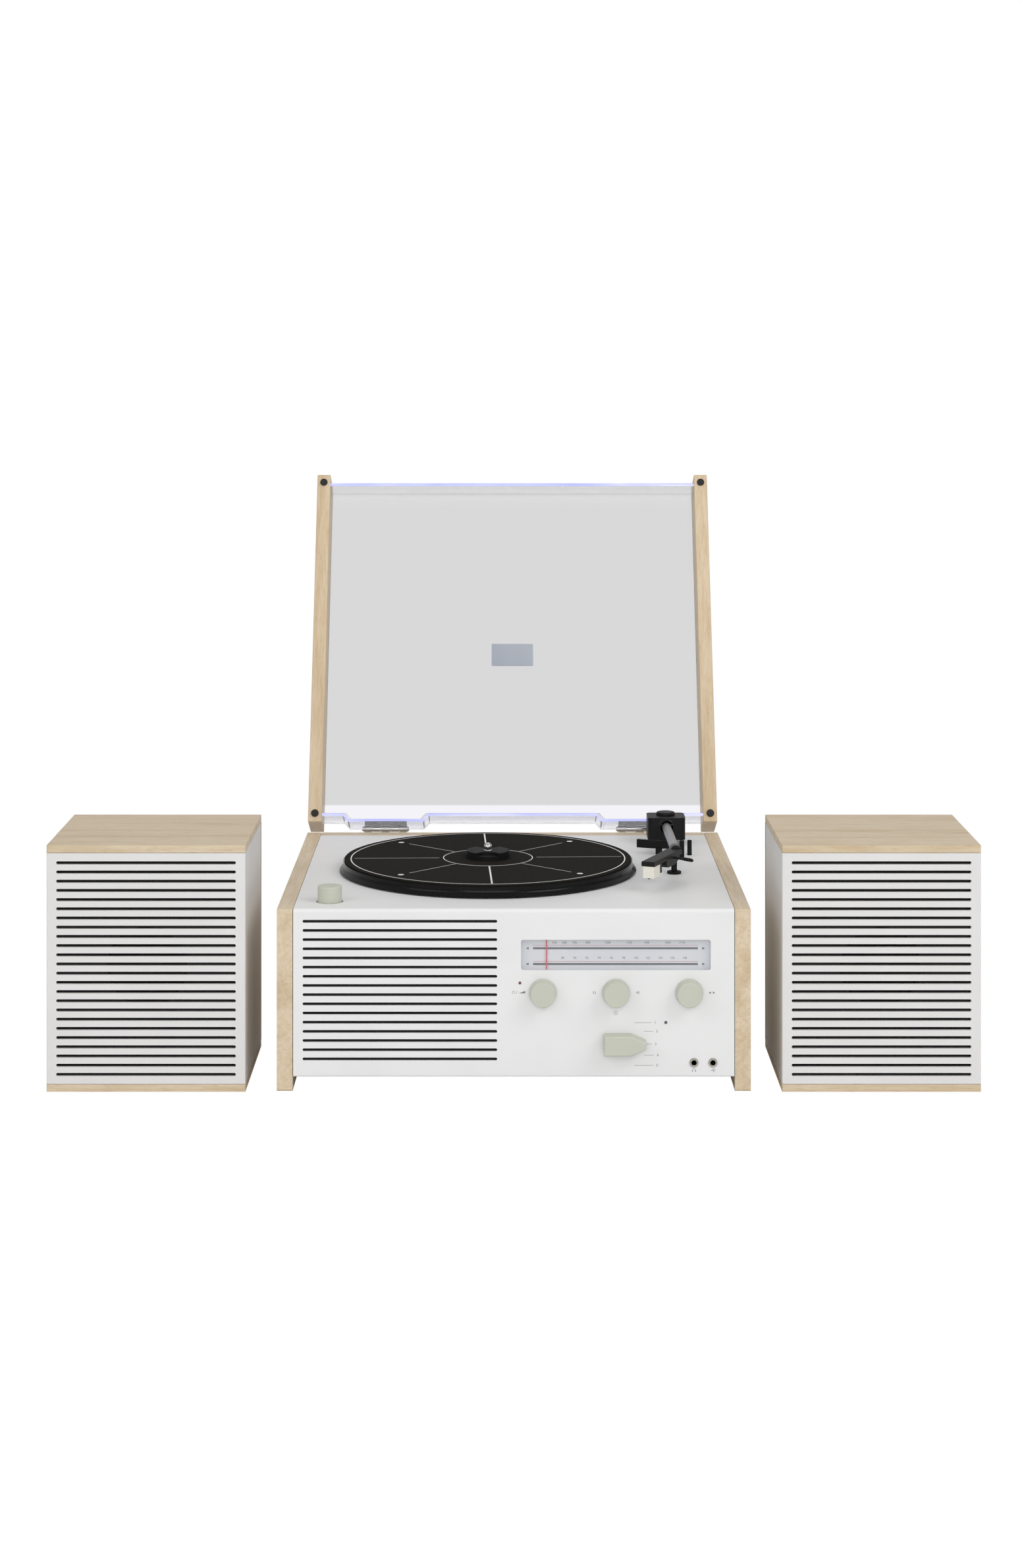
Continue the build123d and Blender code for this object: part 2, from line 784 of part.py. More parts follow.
# Steel spindle with a domed tip, pressed into the platter's hub
spindle_top = mat_top + spindle_above_mat
spindle_bottom = cabinet_height - spindle_depth
journal_radius = spindle_radius - 0.6
with BuildPart() as spindle:
    with BuildSketch(upright_plane(platter_x, platter_y)):
        with BuildLine():
            Polyline(
                (0, spindle_top),
                (0, spindle_bottom),
                (journal_radius, spindle_bottom),
                (journal_radius, skirt_bottom),
                (spindle_radius, skirt_bottom),
                (spindle_radius, spindle_top - spindle_radius),
            )
            RadiusArc(
                (spindle_radius, spindle_top - spindle_radius),
                (0, spindle_top),
                -spindle_radius,
            )
        make_face()
    revolve(axis=upright_axis(platter_x, platter_y))
spindle.part.label = "spindle"
export_step(spindle.part, "parts/spindle.step")

# Adapter for records with a large centre hole, lying round the spindle
with BuildPart() as adapter_45:
    with BuildSketch(level(mat_top)):
        with Locations((platter_x, platter_y)):
            Circle(adapter_radius)
    extrude(amount=adapter_base_height)
    with BuildSketch(level(mat_top + adapter_base_height)) as lobes:
        with Locations((platter_x, platter_y)):
            Circle(adapter_radius - 0.6)
        with Locations((platter_x, platter_y + adapter_radius), (platter_x, platter_y - adapter_radius)):
            Circle(adapter_waist / 2 + 2.0, mode=Mode.SUBTRACT)
    extrude(amount=adapter_height - adapter_base_height)
    with BuildSketch(level(mat_top + adapter_height)):
        with Locations((platter_x, platter_y)):
            Circle(spindle_radius + adapter_clearance)
    extrude(amount=-adapter_height, mode=Mode.SUBTRACT)
adapter_45.part.label = "adapter_45"
export_step(adapter_45.part, "parts/adapter_45.step")

# Bearing well under the sheet, closed at the bottom
well_top = cabinet_height + platter_gap / 2
well_bottom = spindle_bottom - spindle_clearance - bearing_floor
with BuildPart() as bearing_well:
    with BuildSketch(level(well_bottom)):
        with Locations((platter_x, platter_y)):
            Circle(bearing_radius)
    extrude(amount=well_top - well_bottom)
    with BuildSketch(level(sheet_inside_z - chassis_thickness)):
        with Locations((platter_x, platter_y)):
            Circle(bearing_flange_radius)
    extrude(amount=chassis_thickness)
    with BuildSketch(level(well_top)):
        with Locations((platter_x, platter_y)):
            Circle(journal_radius + spindle_clearance)
    extrude(amount=-(well_top - well_bottom - bearing_floor), mode=Mode.SUBTRACT)
bearing_well.part.label = "bearing_well"
export_step(bearing_well.part, "parts/bearing_well.step")

# Flat belt round the platter's ring and the motor pulley
belt_bottom = belt_ring_bottom + 0.5
pulley_y = y_at(pulley_depth)
with BuildPart() as drive_belt:
    with BuildSketch(level(belt_bottom)):
        with Locations((platter_x, platter_y)):
            Circle(belt_ring_radius + belt_clearance + belt_thickness)
        with Locations((pulley_x, pulley_y)):
            Circle(pulley_radius + belt_clearance + belt_thickness)
        make_hull()
    extrude(amount=belt_height)
    with BuildSketch(level(belt_bottom)):
        with Locations((platter_x, platter_y)):
            Circle(belt_ring_radius + belt_clearance)
        with Locations((pulley_x, pulley_y)):
            Circle(pulley_radius + belt_clearance)
        make_hull()
    extrude(amount=belt_height, mode=Mode.SUBTRACT)
drive_belt.part.label = "drive_belt"
export_step(drive_belt.part, "parts/drive_belt.step")

with BuildPart() as motor:
    with BuildSketch(level(sheet_inside_z - motor_height)):
        with Locations((pulley_x, pulley_y)):
            Circle(motor_radius)
            Circle(motor_shaft_radius + motor_shaft_clearance, mode=Mode.SUBTRACT)
    extrude(amount=motor_height)
motor.part.label = "motor"
export_step(motor.part, "parts/motor.step")

pulley_top = belt_bottom + belt_height
with BuildPart() as motor_pulley:
    with BuildSketch(level(cabinet_height + belt_clearance)):
        with Locations((pulley_x, pulley_y)):
            Circle(pulley_radius)
    extrude(amount=pulley_top - cabinet_height - belt_clearance)
    with BuildSketch(level(pulley_top)):
        with Locations((pulley_x, pulley_y)):
            Circle(motor_shaft_radius)
    extrude(amount=-motor_shaft_length)
motor_pulley.part.label = "motor_pulley"
export_step(motor_pulley.part, "parts/motor_pulley.step")

# Tonearm chassis under the sheet: a bearing tube, the cue post's guide and the lever's ears
arm_y = y_at(arm_depth)
cue_post_y = y_at(cue_post_depth)
lever_y = y_at(lever_depth)
chassis_top = sheet_inside_z
chassis_bottom = chassis_top - chassis_thickness
guide_radius = cue_post_radius + 3.0
guide_bottom = cue_post_bottom + 8.0
tube_top = housing_bottom - chassis_hole_clearance
tube_bottom = cabinet_height - journal_length
ear_thickness = 3.0
ear_height = chassis_bottom - lever_axis_z + 2 * lever_pin_radius
ear_x = lever_radius + 1.0 + ear_thickness / 2
with BuildPart() as tonearm_base:
    with BuildSketch(level(chassis_bottom)):
        with Locations((arm_x, arm_y)):
            Circle(bearing_tube_radius + 4.0)
        with Locations((cue_post_x, cue_post_y)):
            Circle(guide_radius)
        with Locations((lever_x, lever_y)):
            Rectangle(2 * ear_x + ear_thickness, 16.0)
        make_hull()
        with Locations((lever_x, y_at(lever_slot_depth))):
            SlotOverall(lever_slot_length + 2.0, 2 * lever_radius + 2.0, rotation=90, mode=Mode.SUBTRACT)
    extrude(amount=chassis_thickness)
    with BuildSketch(level(tube_bottom)):
        with Locations((arm_x, arm_y)):
            Circle(bearing_tube_radius)
    extrude(amount=tube_top - tube_bottom)
    with BuildSketch(level(guide_bottom)):
        with Locations((cue_post_x, cue_post_y)):
            Circle(guide_radius)
    extrude(amount=chassis_bottom - guide_bottom)
    with BuildSketch(level(chassis_bottom)):
        with Locations((lever_x, lever_y)):
            with GridLocations(2 * ear_x, 1, 2, 1):
                Rectangle(ear_thickness, 8.0)
    extrude(amount=-ear_height)
    with BuildSketch(level(tube_top)):
        with Locations((arm_x, arm_y)):
            Circle(bearing_tube_bore)
    extrude(amount=-(tube_top - tube_bottom), mode=Mode.SUBTRACT)
    with BuildSketch(level(chassis_top)):
        with Locations((cue_post_x, cue_post_y)):
            Circle(cue_post_radius + cue_post_clearance)
    extrude(amount=-(chassis_top - guide_bottom), mode=Mode.SUBTRACT)
    with BuildSketch(Plane.YZ.offset(lever_x)):
        with Locations((lever_y, lever_axis_z)):
            Circle(lever_pin_radius + arm_pin_clearance)
    extrude(amount=ear_x + ear_thickness, both=True, mode=Mode.SUBTRACT)
tonearm_base.part.label = "tonearm_base"
export_step(tonearm_base.part, "parts/tonearm_base.step")

# The housing turns on its journal and carries the tube on a cross pin
pocket_radius = tube_radius + 2.0
housing_middle = arm_y + (housing_back - housing_front) / 2
housing_depth = housing_front + housing_back
with BuildPart() as tonearm_housing:
    with BuildSketch(level(housing_bottom)):
        with Locations((arm_x, housing_middle)):
            RectangleRounded(housing_width, housing_depth, housing_corner)
    extrude(amount=housing_top - housing_bottom)
    with BuildSketch(level(housing_bottom)):
        with Locations((arm_x, arm_y)):
            Circle(housing_cap_radius)
    extrude(amount=housing_cap_top - housing_bottom)
    fillet(tonearm_housing.edges().group_by(Axis.Z)[-1], 1.5)
    with BuildSketch(Plane.XZ.offset(-(arm_y - housing_front))):
        with Locations((arm_x, arm_axis_z + tube_end_rise * housing_front / tube_length)):
            Circle(housing_mouth_radius)
    extrude(amount=-(housing_front + 7.0), mode=Mode.SUBTRACT)
    with BuildSketch(level(housing_bottom)):
        with Locations((arm_x, arm_y)):
            Circle(arm_journal_radius)
    extrude(amount=-(housing_bottom - tube_bottom))
    with BuildSketch(Plane.YZ.offset(arm_x)):
        with Locations((arm_y, arm_axis_z)):
            Circle(arm_pin_radius + arm_pin_clearance)
    extrude(amount=housing_width / 2 - 3.0, both=True, mode=Mode.SUBTRACT)
tonearm_housing.part.label = "tonearm_housing"
export_step(tonearm_housing.part, "parts/tonearm_housing.step")

# Tube with its cross pin, drawn along its own direction
arm_pivot = Vector(arm_x, arm_y, arm_axis_z)
tube_end = Vector(tube_end_x, arm_y - tube_length, head_z)
tube_direction = (tube_end - arm_pivot).normalized()
tube_reach = (tube_end - arm_pivot).length
tube_plane = Plane(origin=arm_pivot, x_dir=(0, 0, 1), z_dir=tube_direction)
with BuildPart() as tonearm_tube:
    with BuildSketch(tube_plane.offset(-2 * arm_pin_radius)):
        Circle(tube_radius)
    extrude(amount=tube_reach + 2 * arm_pin_radius)
    with BuildSketch(Plane.YZ.offset(arm_x)):
        with Locations((arm_y, arm_axis_z)):
            Circle(arm_pin_radius)
    extrude(amount=housing_width / 2 - 4.0, both=True)
tonearm_tube.part.label = "tonearm_tube"
export_step(tonearm_tube.part, "parts/tonearm_tube.step")

# Headshell, angled inwards from the end of the tube, with its collar
head_heading = radians(head_angle)
head_direction = Vector(-sin(head_heading), -cos(head_heading), 0)
head_side = Vector(-cos(head_heading), sin(head_heading), 0)
head_plane = Plane(origin=tube_end, x_dir=head_direction, z_dir=(0, 0, 1))
head_side_plane = Plane(origin=tube_end, x_dir=head_direction, z_dir=head_side)
clip_middle = head_length - cartridge_length - cartridge_set_back - head_clip_gap - head_clip_length / 2
rod_start = tube_end + head_direction * lift_rod_back - head_side * (head_keel_width / 2 - head_wall)
rod_direction = Vector(1, -0.18, -0.14).normalized()
rod_plane = Plane(origin=rod_start + Vector(0, 0, -1.5), z_dir=rod_direction)
with BuildPart() as headshell:
    with BuildSketch(head_plane.offset(head_top - head_plate)):
        with BuildLine():
            Polyline(
                (head_start, -head_back_width / 2),
                (head_length * 0.45, -head_width / 2),
                (head_length, -head_width / 2),
                (head_length, head_width / 2),
                (head_length * 0.45, head_width / 2),
                (head_start, head_back_width / 2),
                close=True,
            )
        make_face()
    extrude(amount=head_plate)
    fillet(headshell.edges().group_by(Axis.Z)[-1], 0.8)
    with BuildSketch(head_side_plane) as keel:
        with BuildLine():
            Polyline(
                (head_start, 0),
                (head_start, -head_keel_drop * 0.6),
                (head_start + head_keel_length * 0.3, -head_keel_drop),
                (head_keel_length, -head_keel_drop),
                (head_keel_length, 0),
                close=True,
            )
        make_face()
        fillet(keel.vertices().group_by(Axis.Y)[0], head_keel_drop * 0.5)
    extrude(amount=head_keel_width / 2, both=True)
    with BuildSketch(head_side_plane):
        with Locations((clip_middle, -head_clip_drop / 2)):
            Rectangle(head_clip_length, head_clip_drop)
    extrude(amount=head_keel_width / 2, both=True)
    with BuildSketch(head_side_plane):
        with Locations((clip_middle, -head_clip_drop)):
            Rectangle(head_clip_length, head_clip_drop)
    extrude(amount=head_clip_slot / 2, both=True, mode=Mode.SUBTRACT)
    with BuildSketch(rod_plane):
        Circle(lift_rod_radius)
    extrude(amount=lift_rod_radius * 3, mode=Mode.SUBTRACT)
    with BuildSketch(tube_plane.offset(tube_reach - collar_length)):
        Circle(collar_radius)
        Circle(tube_radius + collar_clearance, mode=Mode.SUBTRACT)
    extrude(amount=collar_length)
    with BuildSketch(tube_plane.offset(tube_reach)):
        Circle(collar_radius)
    extrude(amount=collar_length * 0.7)
headshell.part.label = "headshell"
export_step(headshell.part, "parts/headshell.step")

# Finger lift: a thin rod out of the headshell's outer side
with BuildPart() as finger_lift:
    with BuildSketch(rod_plane):
        Circle(lift_rod_radius)
    extrude(amount=lift_rod_reach)
    fillet(finger_lift.edges().sort_by(Axis.X)[-1], lift_rod_radius * 0.8)
finger_lift.part.label = "finger_lift"
export_step(finger_lift.part, "parts/finger_lift.step")

cartridge_top = head_z + head_top - head_plate
cartridge_middle = head_length - cartridge_length / 2 - cartridge_set_back
with BuildPart() as cartridge:
    with BuildSketch(head_plane.offset(cartridge_bottom - head_z)):
        with Locations((cartridge_middle, 0)):
            Rectangle(cartridge_length, cartridge_width)
    extrude(amount=cartridge_top - cartridge_bottom)
    fillet(cartridge.edges().filter_by(Axis.Z), 0.8)
cartridge.part.label = "cartridge"
export_step(cartridge.part, "parts/cartridge.step")

with BuildPart() as stylus:
    with BuildSketch(head_plane.offset(cartridge_bottom - head_z)):
        with Locations((head_length - stylus_back, 0)):
            Rectangle(4.0, 2.4)
    with BuildSketch(head_plane.offset(stylus_z - head_z)):
        with Locations((head_length - stylus_back, 0)):
            Rectangle(2 * stylus_radius, 2 * stylus_radius)
    loft()
stylus.part.label = "stylus"
export_step(stylus.part, "parts/stylus.step")

# Arm rest: a post with a cradle, open on the side that the arm swings to
rest_y = y_at(rest_depth)
cradle_bottom = rest_axis_z - rest_radius - rest_thickness
inner_notch_width = rest_width / 2 + 1.0
with BuildPart() as arm_rest:
    with BuildSketch(level(cabinet_height)):
        with Locations((rest_x, rest_y)):
            Circle(rest_base_radius)
    extrude(amount=rest_base_height)
    with BuildSketch(level(cabinet_height)):
        with Locations((rest_x, rest_y)):
            Circle(rest_thickness / 2)
    extrude(amount=cradle_bottom - cabinet_height + 1.0)
    with BuildSketch(Plane.XZ.offset(-(rest_y - rest_thickness / 2))):
        with Locations((rest_x, (cradle_bottom + rest_outer_top) / 2)):
            Rectangle(rest_width, rest_outer_top - cradle_bottom)
        with Locations((rest_x, rest_axis_z)):
            Circle(rest_radius, mode=Mode.SUBTRACT)
        with Locations((rest_x, (rest_axis_z + rest_outer_top + 2.0) / 2)):
            Rectangle(2 * rest_radius, rest_outer_top + 2.0 - rest_axis_z, mode=Mode.SUBTRACT)
        with Locations((rest_x - inner_notch_width / 2, (rest_inner_top + rest_outer_top + 2.0) / 2)):
            Rectangle(inner_notch_width, rest_outer_top + 2.0 - rest_inner_top, mode=Mode.SUBTRACT)
    extrude(amount=-rest_thickness)
arm_rest.part.label = "arm_rest"
export_step(arm_rest.part, "parts/arm_rest.step")

# Cue lever: an upright peg on a cross pin below the sheet
with BuildPart() as cue_lever:
    with BuildSketch(level(lever_axis_z)):
        with Locations((lever_x, lever_y)):
            Circle(lever_radius)
    extrude(amount=lever_top - lever_axis_z)
    fillet(cue_lever.edges().group_by(Axis.Z)[-1], 0.9)
    with BuildSketch(Plane.YZ.offset(lever_x)):
        with Locations((lever_y, lever_axis_z)):
            Circle(lever_pin_radius)
    extrude(amount=lever_pin_length / 2, both=True)
cue_lever.part.label = "cue_lever"
export_step(cue_lever.part, "parts/cue_lever.step")

# Cue platform: a curved bar about the arm's pivot, on a post that slides in its guide
cue_span = cue_outer_angle - cue_inner_angle
cue_outer = cue_radius + cue_thickness / 2
cue_inner = cue_radius - cue_thickness / 2


def on_cue_arc(radius, angle):
    turn = radians(angle)
    return (arm_x - radius * sin(turn), arm_y - radius * cos(turn))


cue_middle_angle = (cue_inner_angle + cue_outer_angle) / 2
with BuildPart() as cue_platform:
    with BuildSketch(level(cue_bottom)):
        with BuildLine():
            ThreePointArc(
                on_cue_arc(cue_outer, cue_inner_angle),
                on_cue_arc(cue_outer, cue_middle_angle),
                on_cue_arc(cue_outer, cue_outer_angle),
            )
            Line(on_cue_arc(cue_outer, cue_outer_angle), on_cue_arc(cue_inner, cue_outer_angle))
            ThreePointArc(
                on_cue_arc(cue_inner, cue_outer_angle),
                on_cue_arc(cue_inner, cue_middle_angle),
                on_cue_arc(cue_inner, cue_inner_angle),
            )
            Line(on_cue_arc(cue_inner, cue_inner_angle), on_cue_arc(cue_outer, cue_inner_angle))
        make_face()
    extrude(amount=cue_top - cue_bottom)
    with BuildSketch(level(cue_post_bottom)):
        with Locations((cue_post_x, cue_post_y)):
            Circle(cue_post_radius)
    extrude(amount=cue_bottom + 1.0 - cue_post_bottom)
cue_platform.part.label = "cue_platform"
export_step(cue_platform.part, "parts/cue_platform.step")

# The lid's own frame: x along the hinge, y from its free edge to its hinge, z outwards
lid_origin = Vector(0, y_at(hinge_at), cabinet_height + hinge_height)
lid_back = Vector(0, cos(lid_angle), -sin(lid_angle))
lid_out = Vector(0, sin(lid_angle), cos(lid_angle))
lid_plane = Plane(origin=lid_origin, x_dir=(1, 0, 0), z_dir=lid_out)
lid_end_plane = Plane(origin=lid_origin, x_dir=lid_back, z_dir=(1, 0, 0))

for side, sign in (("left", -1), ("right", 1)):
    with BuildPart() as lid_rail:
        with BuildSketch(lid_plane.offset(rail_under)):
            with Locations((sign * (cabinet_width - side_thickness) / 2, (rail_front + rail_back) / 2)):
                Rectangle(side_thickness, rail_length)
        extrude(amount=rail_height)
        chamfer(lid_rail.edges(), rail_edge)
    lid_rail.part.label = f"{side}_lid_rail"
    export_step(lid_rail.part, f"parts/{side}_lid_rail.step")

bumper_pitch = rail_length - 2 * bumper_end
with BuildPart() as lid_bumpers:
    with BuildSketch(lid_plane.offset(rail_under)):
        with Locations((0, (rail_front + rail_back) / 2)):
            with GridLocations(cabinet_width - side_thickness, bumper_pitch, 2, 2):
                Circle(bumper_radius)
    extrude(amount=-(lid_gap - bumper_clearance))
    fillet(lid_bumpers.edges().group_by(Axis(lid_origin, lid_out))[0], 0.5)
lid_bumpers.part.label = "lid_bumpers"
export_step(lid_bumpers.part, "parts/lid_bumpers.step")

# Clear tray: a top, a front lip and a rear wall that steps back round each hinge
tray_half = cabinet_width / 2 - side_thickness - lid_side_clearance
tray_front = rail_front + lid_wall_inset
tray_back = rail_back - rear_wall_inset
tray_low = rail_under + lid_edge_rise
tray_high = rail_under + lid_inner_height + lid_sheet
pocket_back = tray_back + pocket_depth


def tray_outline(inset, reach):
    """The tray's outline with each front and rear wall moved in by inset, out to reach at the sides."""
    step_in = pocket_inner_width / 2 - inset
    step_out = pocket_outer_width / 2 - inset
    rear = []
    for centre in (hinge_x, -hinge_x):
        rear += [
            (centre + step_in, tray_back - inset),
            (centre + step_out, pocket_back - inset),
            (centre - step_out, pocket_back - inset),
            (centre - step_in, tray_back - inset),
        ]
    front = [(-reach, tray_back - inset), (-reach, tray_front + inset), (reach, tray_front + inset)]
    return [(reach, tray_back - inset)] + rear + front


with BuildPart() as lid_panel:
    with BuildSketch(lid_plane.offset(tray_low)):
        with BuildLine():
            Polyline(*tray_outline(0, tray_half), close=True)
        make_face()
    extrude(amount=tray_high - tray_low)
    top_edges = lid_panel.edges().group_by(Axis(lid_origin, lid_out))[-1]
    fillet(top_edges.filter_by(Axis(lid_origin, lid_back), reverse=True), lid_bend_radius)
    with BuildSketch(lid_plane.offset(tray_low)):
        with BuildLine():
            Polyline(*tray_outline(lid_sheet, tray_half + 1.0), close=True)
        make_face()
    extrude(amount=tray_high - tray_low - lid_sheet, mode=Mode.SUBTRACT)
lid_panel.part.label = "lid_panel"
export_step(lid_panel.part, "parts/lid_panel.step")

badge_y = (tray_front + tray_back) / 2
with BuildPart() as lid_badge:
    with BuildSketch(lid_plane.offset(tray_high - lid_sheet)):
        with Locations((0, badge_y)):
            RectangleRounded(badge_width, badge_height, 1.0)
    extrude(amount=-badge_thickness)
lid_badge.part.label = "lid_badge"
export_step(lid_badge.part, "parts/lid_badge.step")

# Hinges. Odd knuckles belong to the cabinet's leaf and even ones to the lid's leaf
knuckle_pitch = barrel_length / knuckle_count
knuckle_length = knuckle_pitch - knuckle_gap
hinge_y = y_at(hinge_at)
hinge_z = cabinet_height + hinge_height
leaf_gap = barrel_radius + 0.5
hinge_bore = hinge_pin_radius + hinge_pin_clearance


def knuckle_centres(first):
    start = -barrel_length / 2 + knuckle_pitch / 2
    return [start + knuckle_pitch * i for i in range(first, knuckle_count, 2)]


with BuildPart() as cabinet_leaves:
    for centre in (-hinge_x, hinge_x):
        with BuildSketch(front_plane(cabinet_depth)):
            with Locations((centre, hinge_z - leaf_gap - cabinet_leaf_height / 2)):
                Rectangle(leaf_width, cabinet_leaf_height)
        extrude(amount=-leaf_thickness)
        for x in knuckle_centres(0):
            width = min(knuckle_length, leaf_width / 2 - abs(x) + knuckle_length / 2)
            shift = x * (1 - (knuckle_length - width) / (2 * max(abs(x), 1)))
            with BuildSketch(Plane.YZ.offset(centre + x)):
                with Locations((hinge_y, hinge_z)):
                    Circle(barrel_radius)
            extrude(amount=knuckle_length / 2, both=True)
            with BuildSketch(front_plane(cabinet_depth)):
                with Locations((centre + shift, hinge_z - leaf_gap / 2)):
                    Rectangle(width, leaf_gap)
            extrude(amount=-leaf_thickness)
        with BuildSketch(Plane.YZ.offset(centre)):
            with Locations((hinge_y, hinge_z)):
                Circle(hinge_bore)
        extrude(amount=barrel_length, both=True, mode=Mode.SUBTRACT)
cabinet_leaves.part.label = "cabinet_leaves"
export_step(cabinet_leaves.part, "parts/cabinet_leaves.step")

leaf_front = pocket_back
leaf_back = leaf_front + leaf_thickness
with BuildPart() as lid_leaves:
    for centre in (-hinge_x, hinge_x):
        with BuildSketch(lid_end_plane.offset(centre)):
            with Locations(((leaf_front + leaf_back) / 2, (lid_leaf_height - barrel_radius) / 2)):
                Rectangle(leaf_thickness, lid_leaf_height + barrel_radius)
            with Locations(((leaf_front - leaf_gap) / 2, -barrel_radius + leaf_thickness / 2)):
                Rectangle(-leaf_gap - leaf_front, leaf_thickness)
        extrude(amount=leaf_width / 2, both=True)
        for x in knuckle_centres(1):
            with BuildSketch(lid_end_plane.offset(centre + x)):
                Circle(barrel_radius)
                with Locations((-leaf_gap / 2, -barrel_radius + leaf_thickness / 2)):
                    Rectangle(leaf_gap, leaf_thickness)
            extrude(amount=knuckle_length / 2, both=True)
        with BuildSketch(lid_end_plane.offset(centre)):
            Circle(hinge_bore)
        extrude(amount=barrel_length, both=True, mode=Mode.SUBTRACT)
lid_leaves.part.label = "lid_leaves"
export_step(lid_leaves.part, "parts/lid_leaves.step")

with BuildPart() as hinge_pins:
    for centre in (-hinge_x, hinge_x):
        with BuildSketch(Plane.YZ.offset(centre)):
            with Locations((hinge_y, hinge_z)):
                Circle(hinge_pin_radius)
        extrude(amount=barrel_length / 2, both=True)
        for end in (-1, 1):
            with BuildSketch(Plane.YZ.offset(centre + end * barrel_length / 2)):
                with Locations((hinge_y, hinge_z)):
                    Circle(hinge_pin_head)
            extrude(amount=end * 0.8)
hinge_pins.part.label = "hinge_pins"
export_step(hinge_pins.part, "parts/hinge_pins.step")

# Circuit board on its standoffs, and the terminal plate with its sockets at the back
board_x = -board_width * 0.4
board_y = y_at(cabinet_depth * 0.7)
with BuildPart() as main_board:
    with BuildSketch(level(base_top)):
        with Locations((board_x, board_y)):
            with GridLocations(board_width - 2 * board_margin, board_depth - 2 * board_margin, 2, 2):
                Circle(board_margin / 2)
    extrude(amount=board_standoff)
    with BuildSketch(level(base_top + board_standoff)):
        with Locations((board_x, board_y)):
            Rectangle(board_width, board_depth)
    extrude(amount=board_thickness)
    with BuildSketch(level(base_top + board_standoff + board_thickness)):
        with Locations((board_x, board_y)):
            with GridLocations(capacitor_spacing_x, capacitor_spacing_y, 4, 2):
                Circle(capacitor_radius)
    extrude(amount=capacitor_height)
main_board.part.label = "main_board"
export_step(main_board.part, "parts/main_board.step")

with BuildPart() as terminal_plate:
    with BuildSketch(front_plane(cabinet_depth)):
        with Locations((0, plate_z)):
            RectangleRounded(plate_width, plate_height, 3.0)
    extrude(amount=-plate_thickness)
terminal_plate.part.label = "terminal_plate"
export_step(terminal_plate.part, "parts/terminal_plate.step")

socket_base = cabinet_depth + plate_thickness
inlet_x = plate_width / 2 - inlet_margin
with BuildPart() as rear_sockets:
    with BuildSketch(front_plane(socket_base)):
        for bank in (-bank_offset, 0):
            with Locations((bank, plate_z)):
                with GridLocations(socket_spacing, socket_spacing, 2, 2):
                    Circle(socket_radius)
                    Circle(socket_bore_radius, mode=Mode.SUBTRACT)
        with Locations((inlet_x, plate_z)):
            Circle(inlet_radius)
            Circle(inlet_bore_radius, mode=Mode.SUBTRACT)
    extrude(amount=-socket_length)
rear_sockets.part.label = "rear_sockets"
export_step(rear_sockets.part, "parts/rear_sockets.step")

# Speakers: wooden boards above and below a white shell, with a black baffle behind the slots
box_bottom = speaker_board + speaker_seam
box_top = speaker_height - speaker_board - speaker_seam
box_height = box_top - box_bottom
box_z = (box_top + box_bottom) / 2
speaker_middle = speaker_setback + speaker_depth / 2
speaker_slot_z = speaker_slot_top - speaker_slot_spacing * (speaker_slot_count - 1) / 2
inner_width = speaker_width - 2 * speaker_wall
shell_depth = speaker_depth - back_thickness
baffle_front = speaker_setback + speaker_front + baffle_gap
baffle_back = baffle_front + baffle_thickness
speaker_back = speaker_setback + speaker_depth
for side, sign in (("left", -1), ("right", 1)):
    centre_x = sign * speaker_x
    with BuildPart() as speaker_boards:
        with BuildSketch(level(0)):
            with Locations((centre_x, y_at(speaker_middle))):
                Rectangle(speaker_width, speaker_depth)
        extrude(amount=speaker_board)
        with BuildSketch(level(speaker_height - speaker_board)):
            with Locations((centre_x, y_at(speaker_middle))):
                Rectangle(speaker_width, speaker_depth)
        extrude(amount=speaker_board)
        chamfer(speaker_boards.edges().filter_by(Axis.Z), 0.5)
    speaker_boards.part.label = f"{side}_speaker_boards"
    export_step(speaker_boards.part, f"parts/{side}_speaker_boards.step")

    with BuildPart() as speaker_shell:
        with BuildSketch(level(box_bottom)):
            with Locations((centre_x, y_at(speaker_setback + shell_depth / 2))):
                Rectangle(speaker_width, shell_depth)
        extrude(amount=box_height)
        fillet(speaker_shell.edges().filter_by(Axis.Z).group_by(Axis.Y)[0], 1.0)
        with BuildSketch(level(box_bottom)):
            with Locations((centre_x, y_at(speaker_setback + speaker_front + shell_depth / 2))):
                Rectangle(inner_width, shell_depth)
        extrude(amount=box_height, mode=Mode.SUBTRACT)
        with BuildSketch(front_plane(speaker_setback)):
            with Locations((centre_x, speaker_slot_z)):
                with GridLocations(1, speaker_slot_spacing, 1, speaker_slot_count):
                    SlotOverall(speaker_slot_length, speaker_slot_height)
        extrude(amount=-speaker_front, mode=Mode.SUBTRACT)
    speaker_shell.part.label = f"{side}_speaker_shell"
    export_step(speaker_shell.part, f"parts/{side}_speaker_shell.step")

    with BuildPart() as speaker_baffle:
        with BuildSketch(front_plane(baffle_front)):
            with Locations((centre_x, box_z)):
                Rectangle(inner_width - 0.4, box_height)
                Circle(driver_hole_radius, mode=Mode.SUBTRACT)
        extrude(amount=-baffle_thickness)
    speaker_baffle.part.label = f"{side}_speaker_baffle"
    export_step(speaker_baffle.part, f"parts/{side}_speaker_baffle.step")

    with BuildPart() as speaker_back_panel:
        with BuildSketch(front_plane(speaker_back)):
            with Locations((centre_x, box_z)):
                Rectangle(speaker_width, box_height)
            with Locations((centre_x, terminal_z)):
                Rectangle(
                    terminal_width - 2 * terminal_margin,
                    terminal_height - 2 * terminal_margin,
                    mode=Mode.SUBTRACT,
                )
        extrude(amount=back_thickness)
    speaker_back_panel.part.label = f"{side}_speaker_back"
    export_step(speaker_back_panel.part, f"parts/{side}_speaker_back.step")

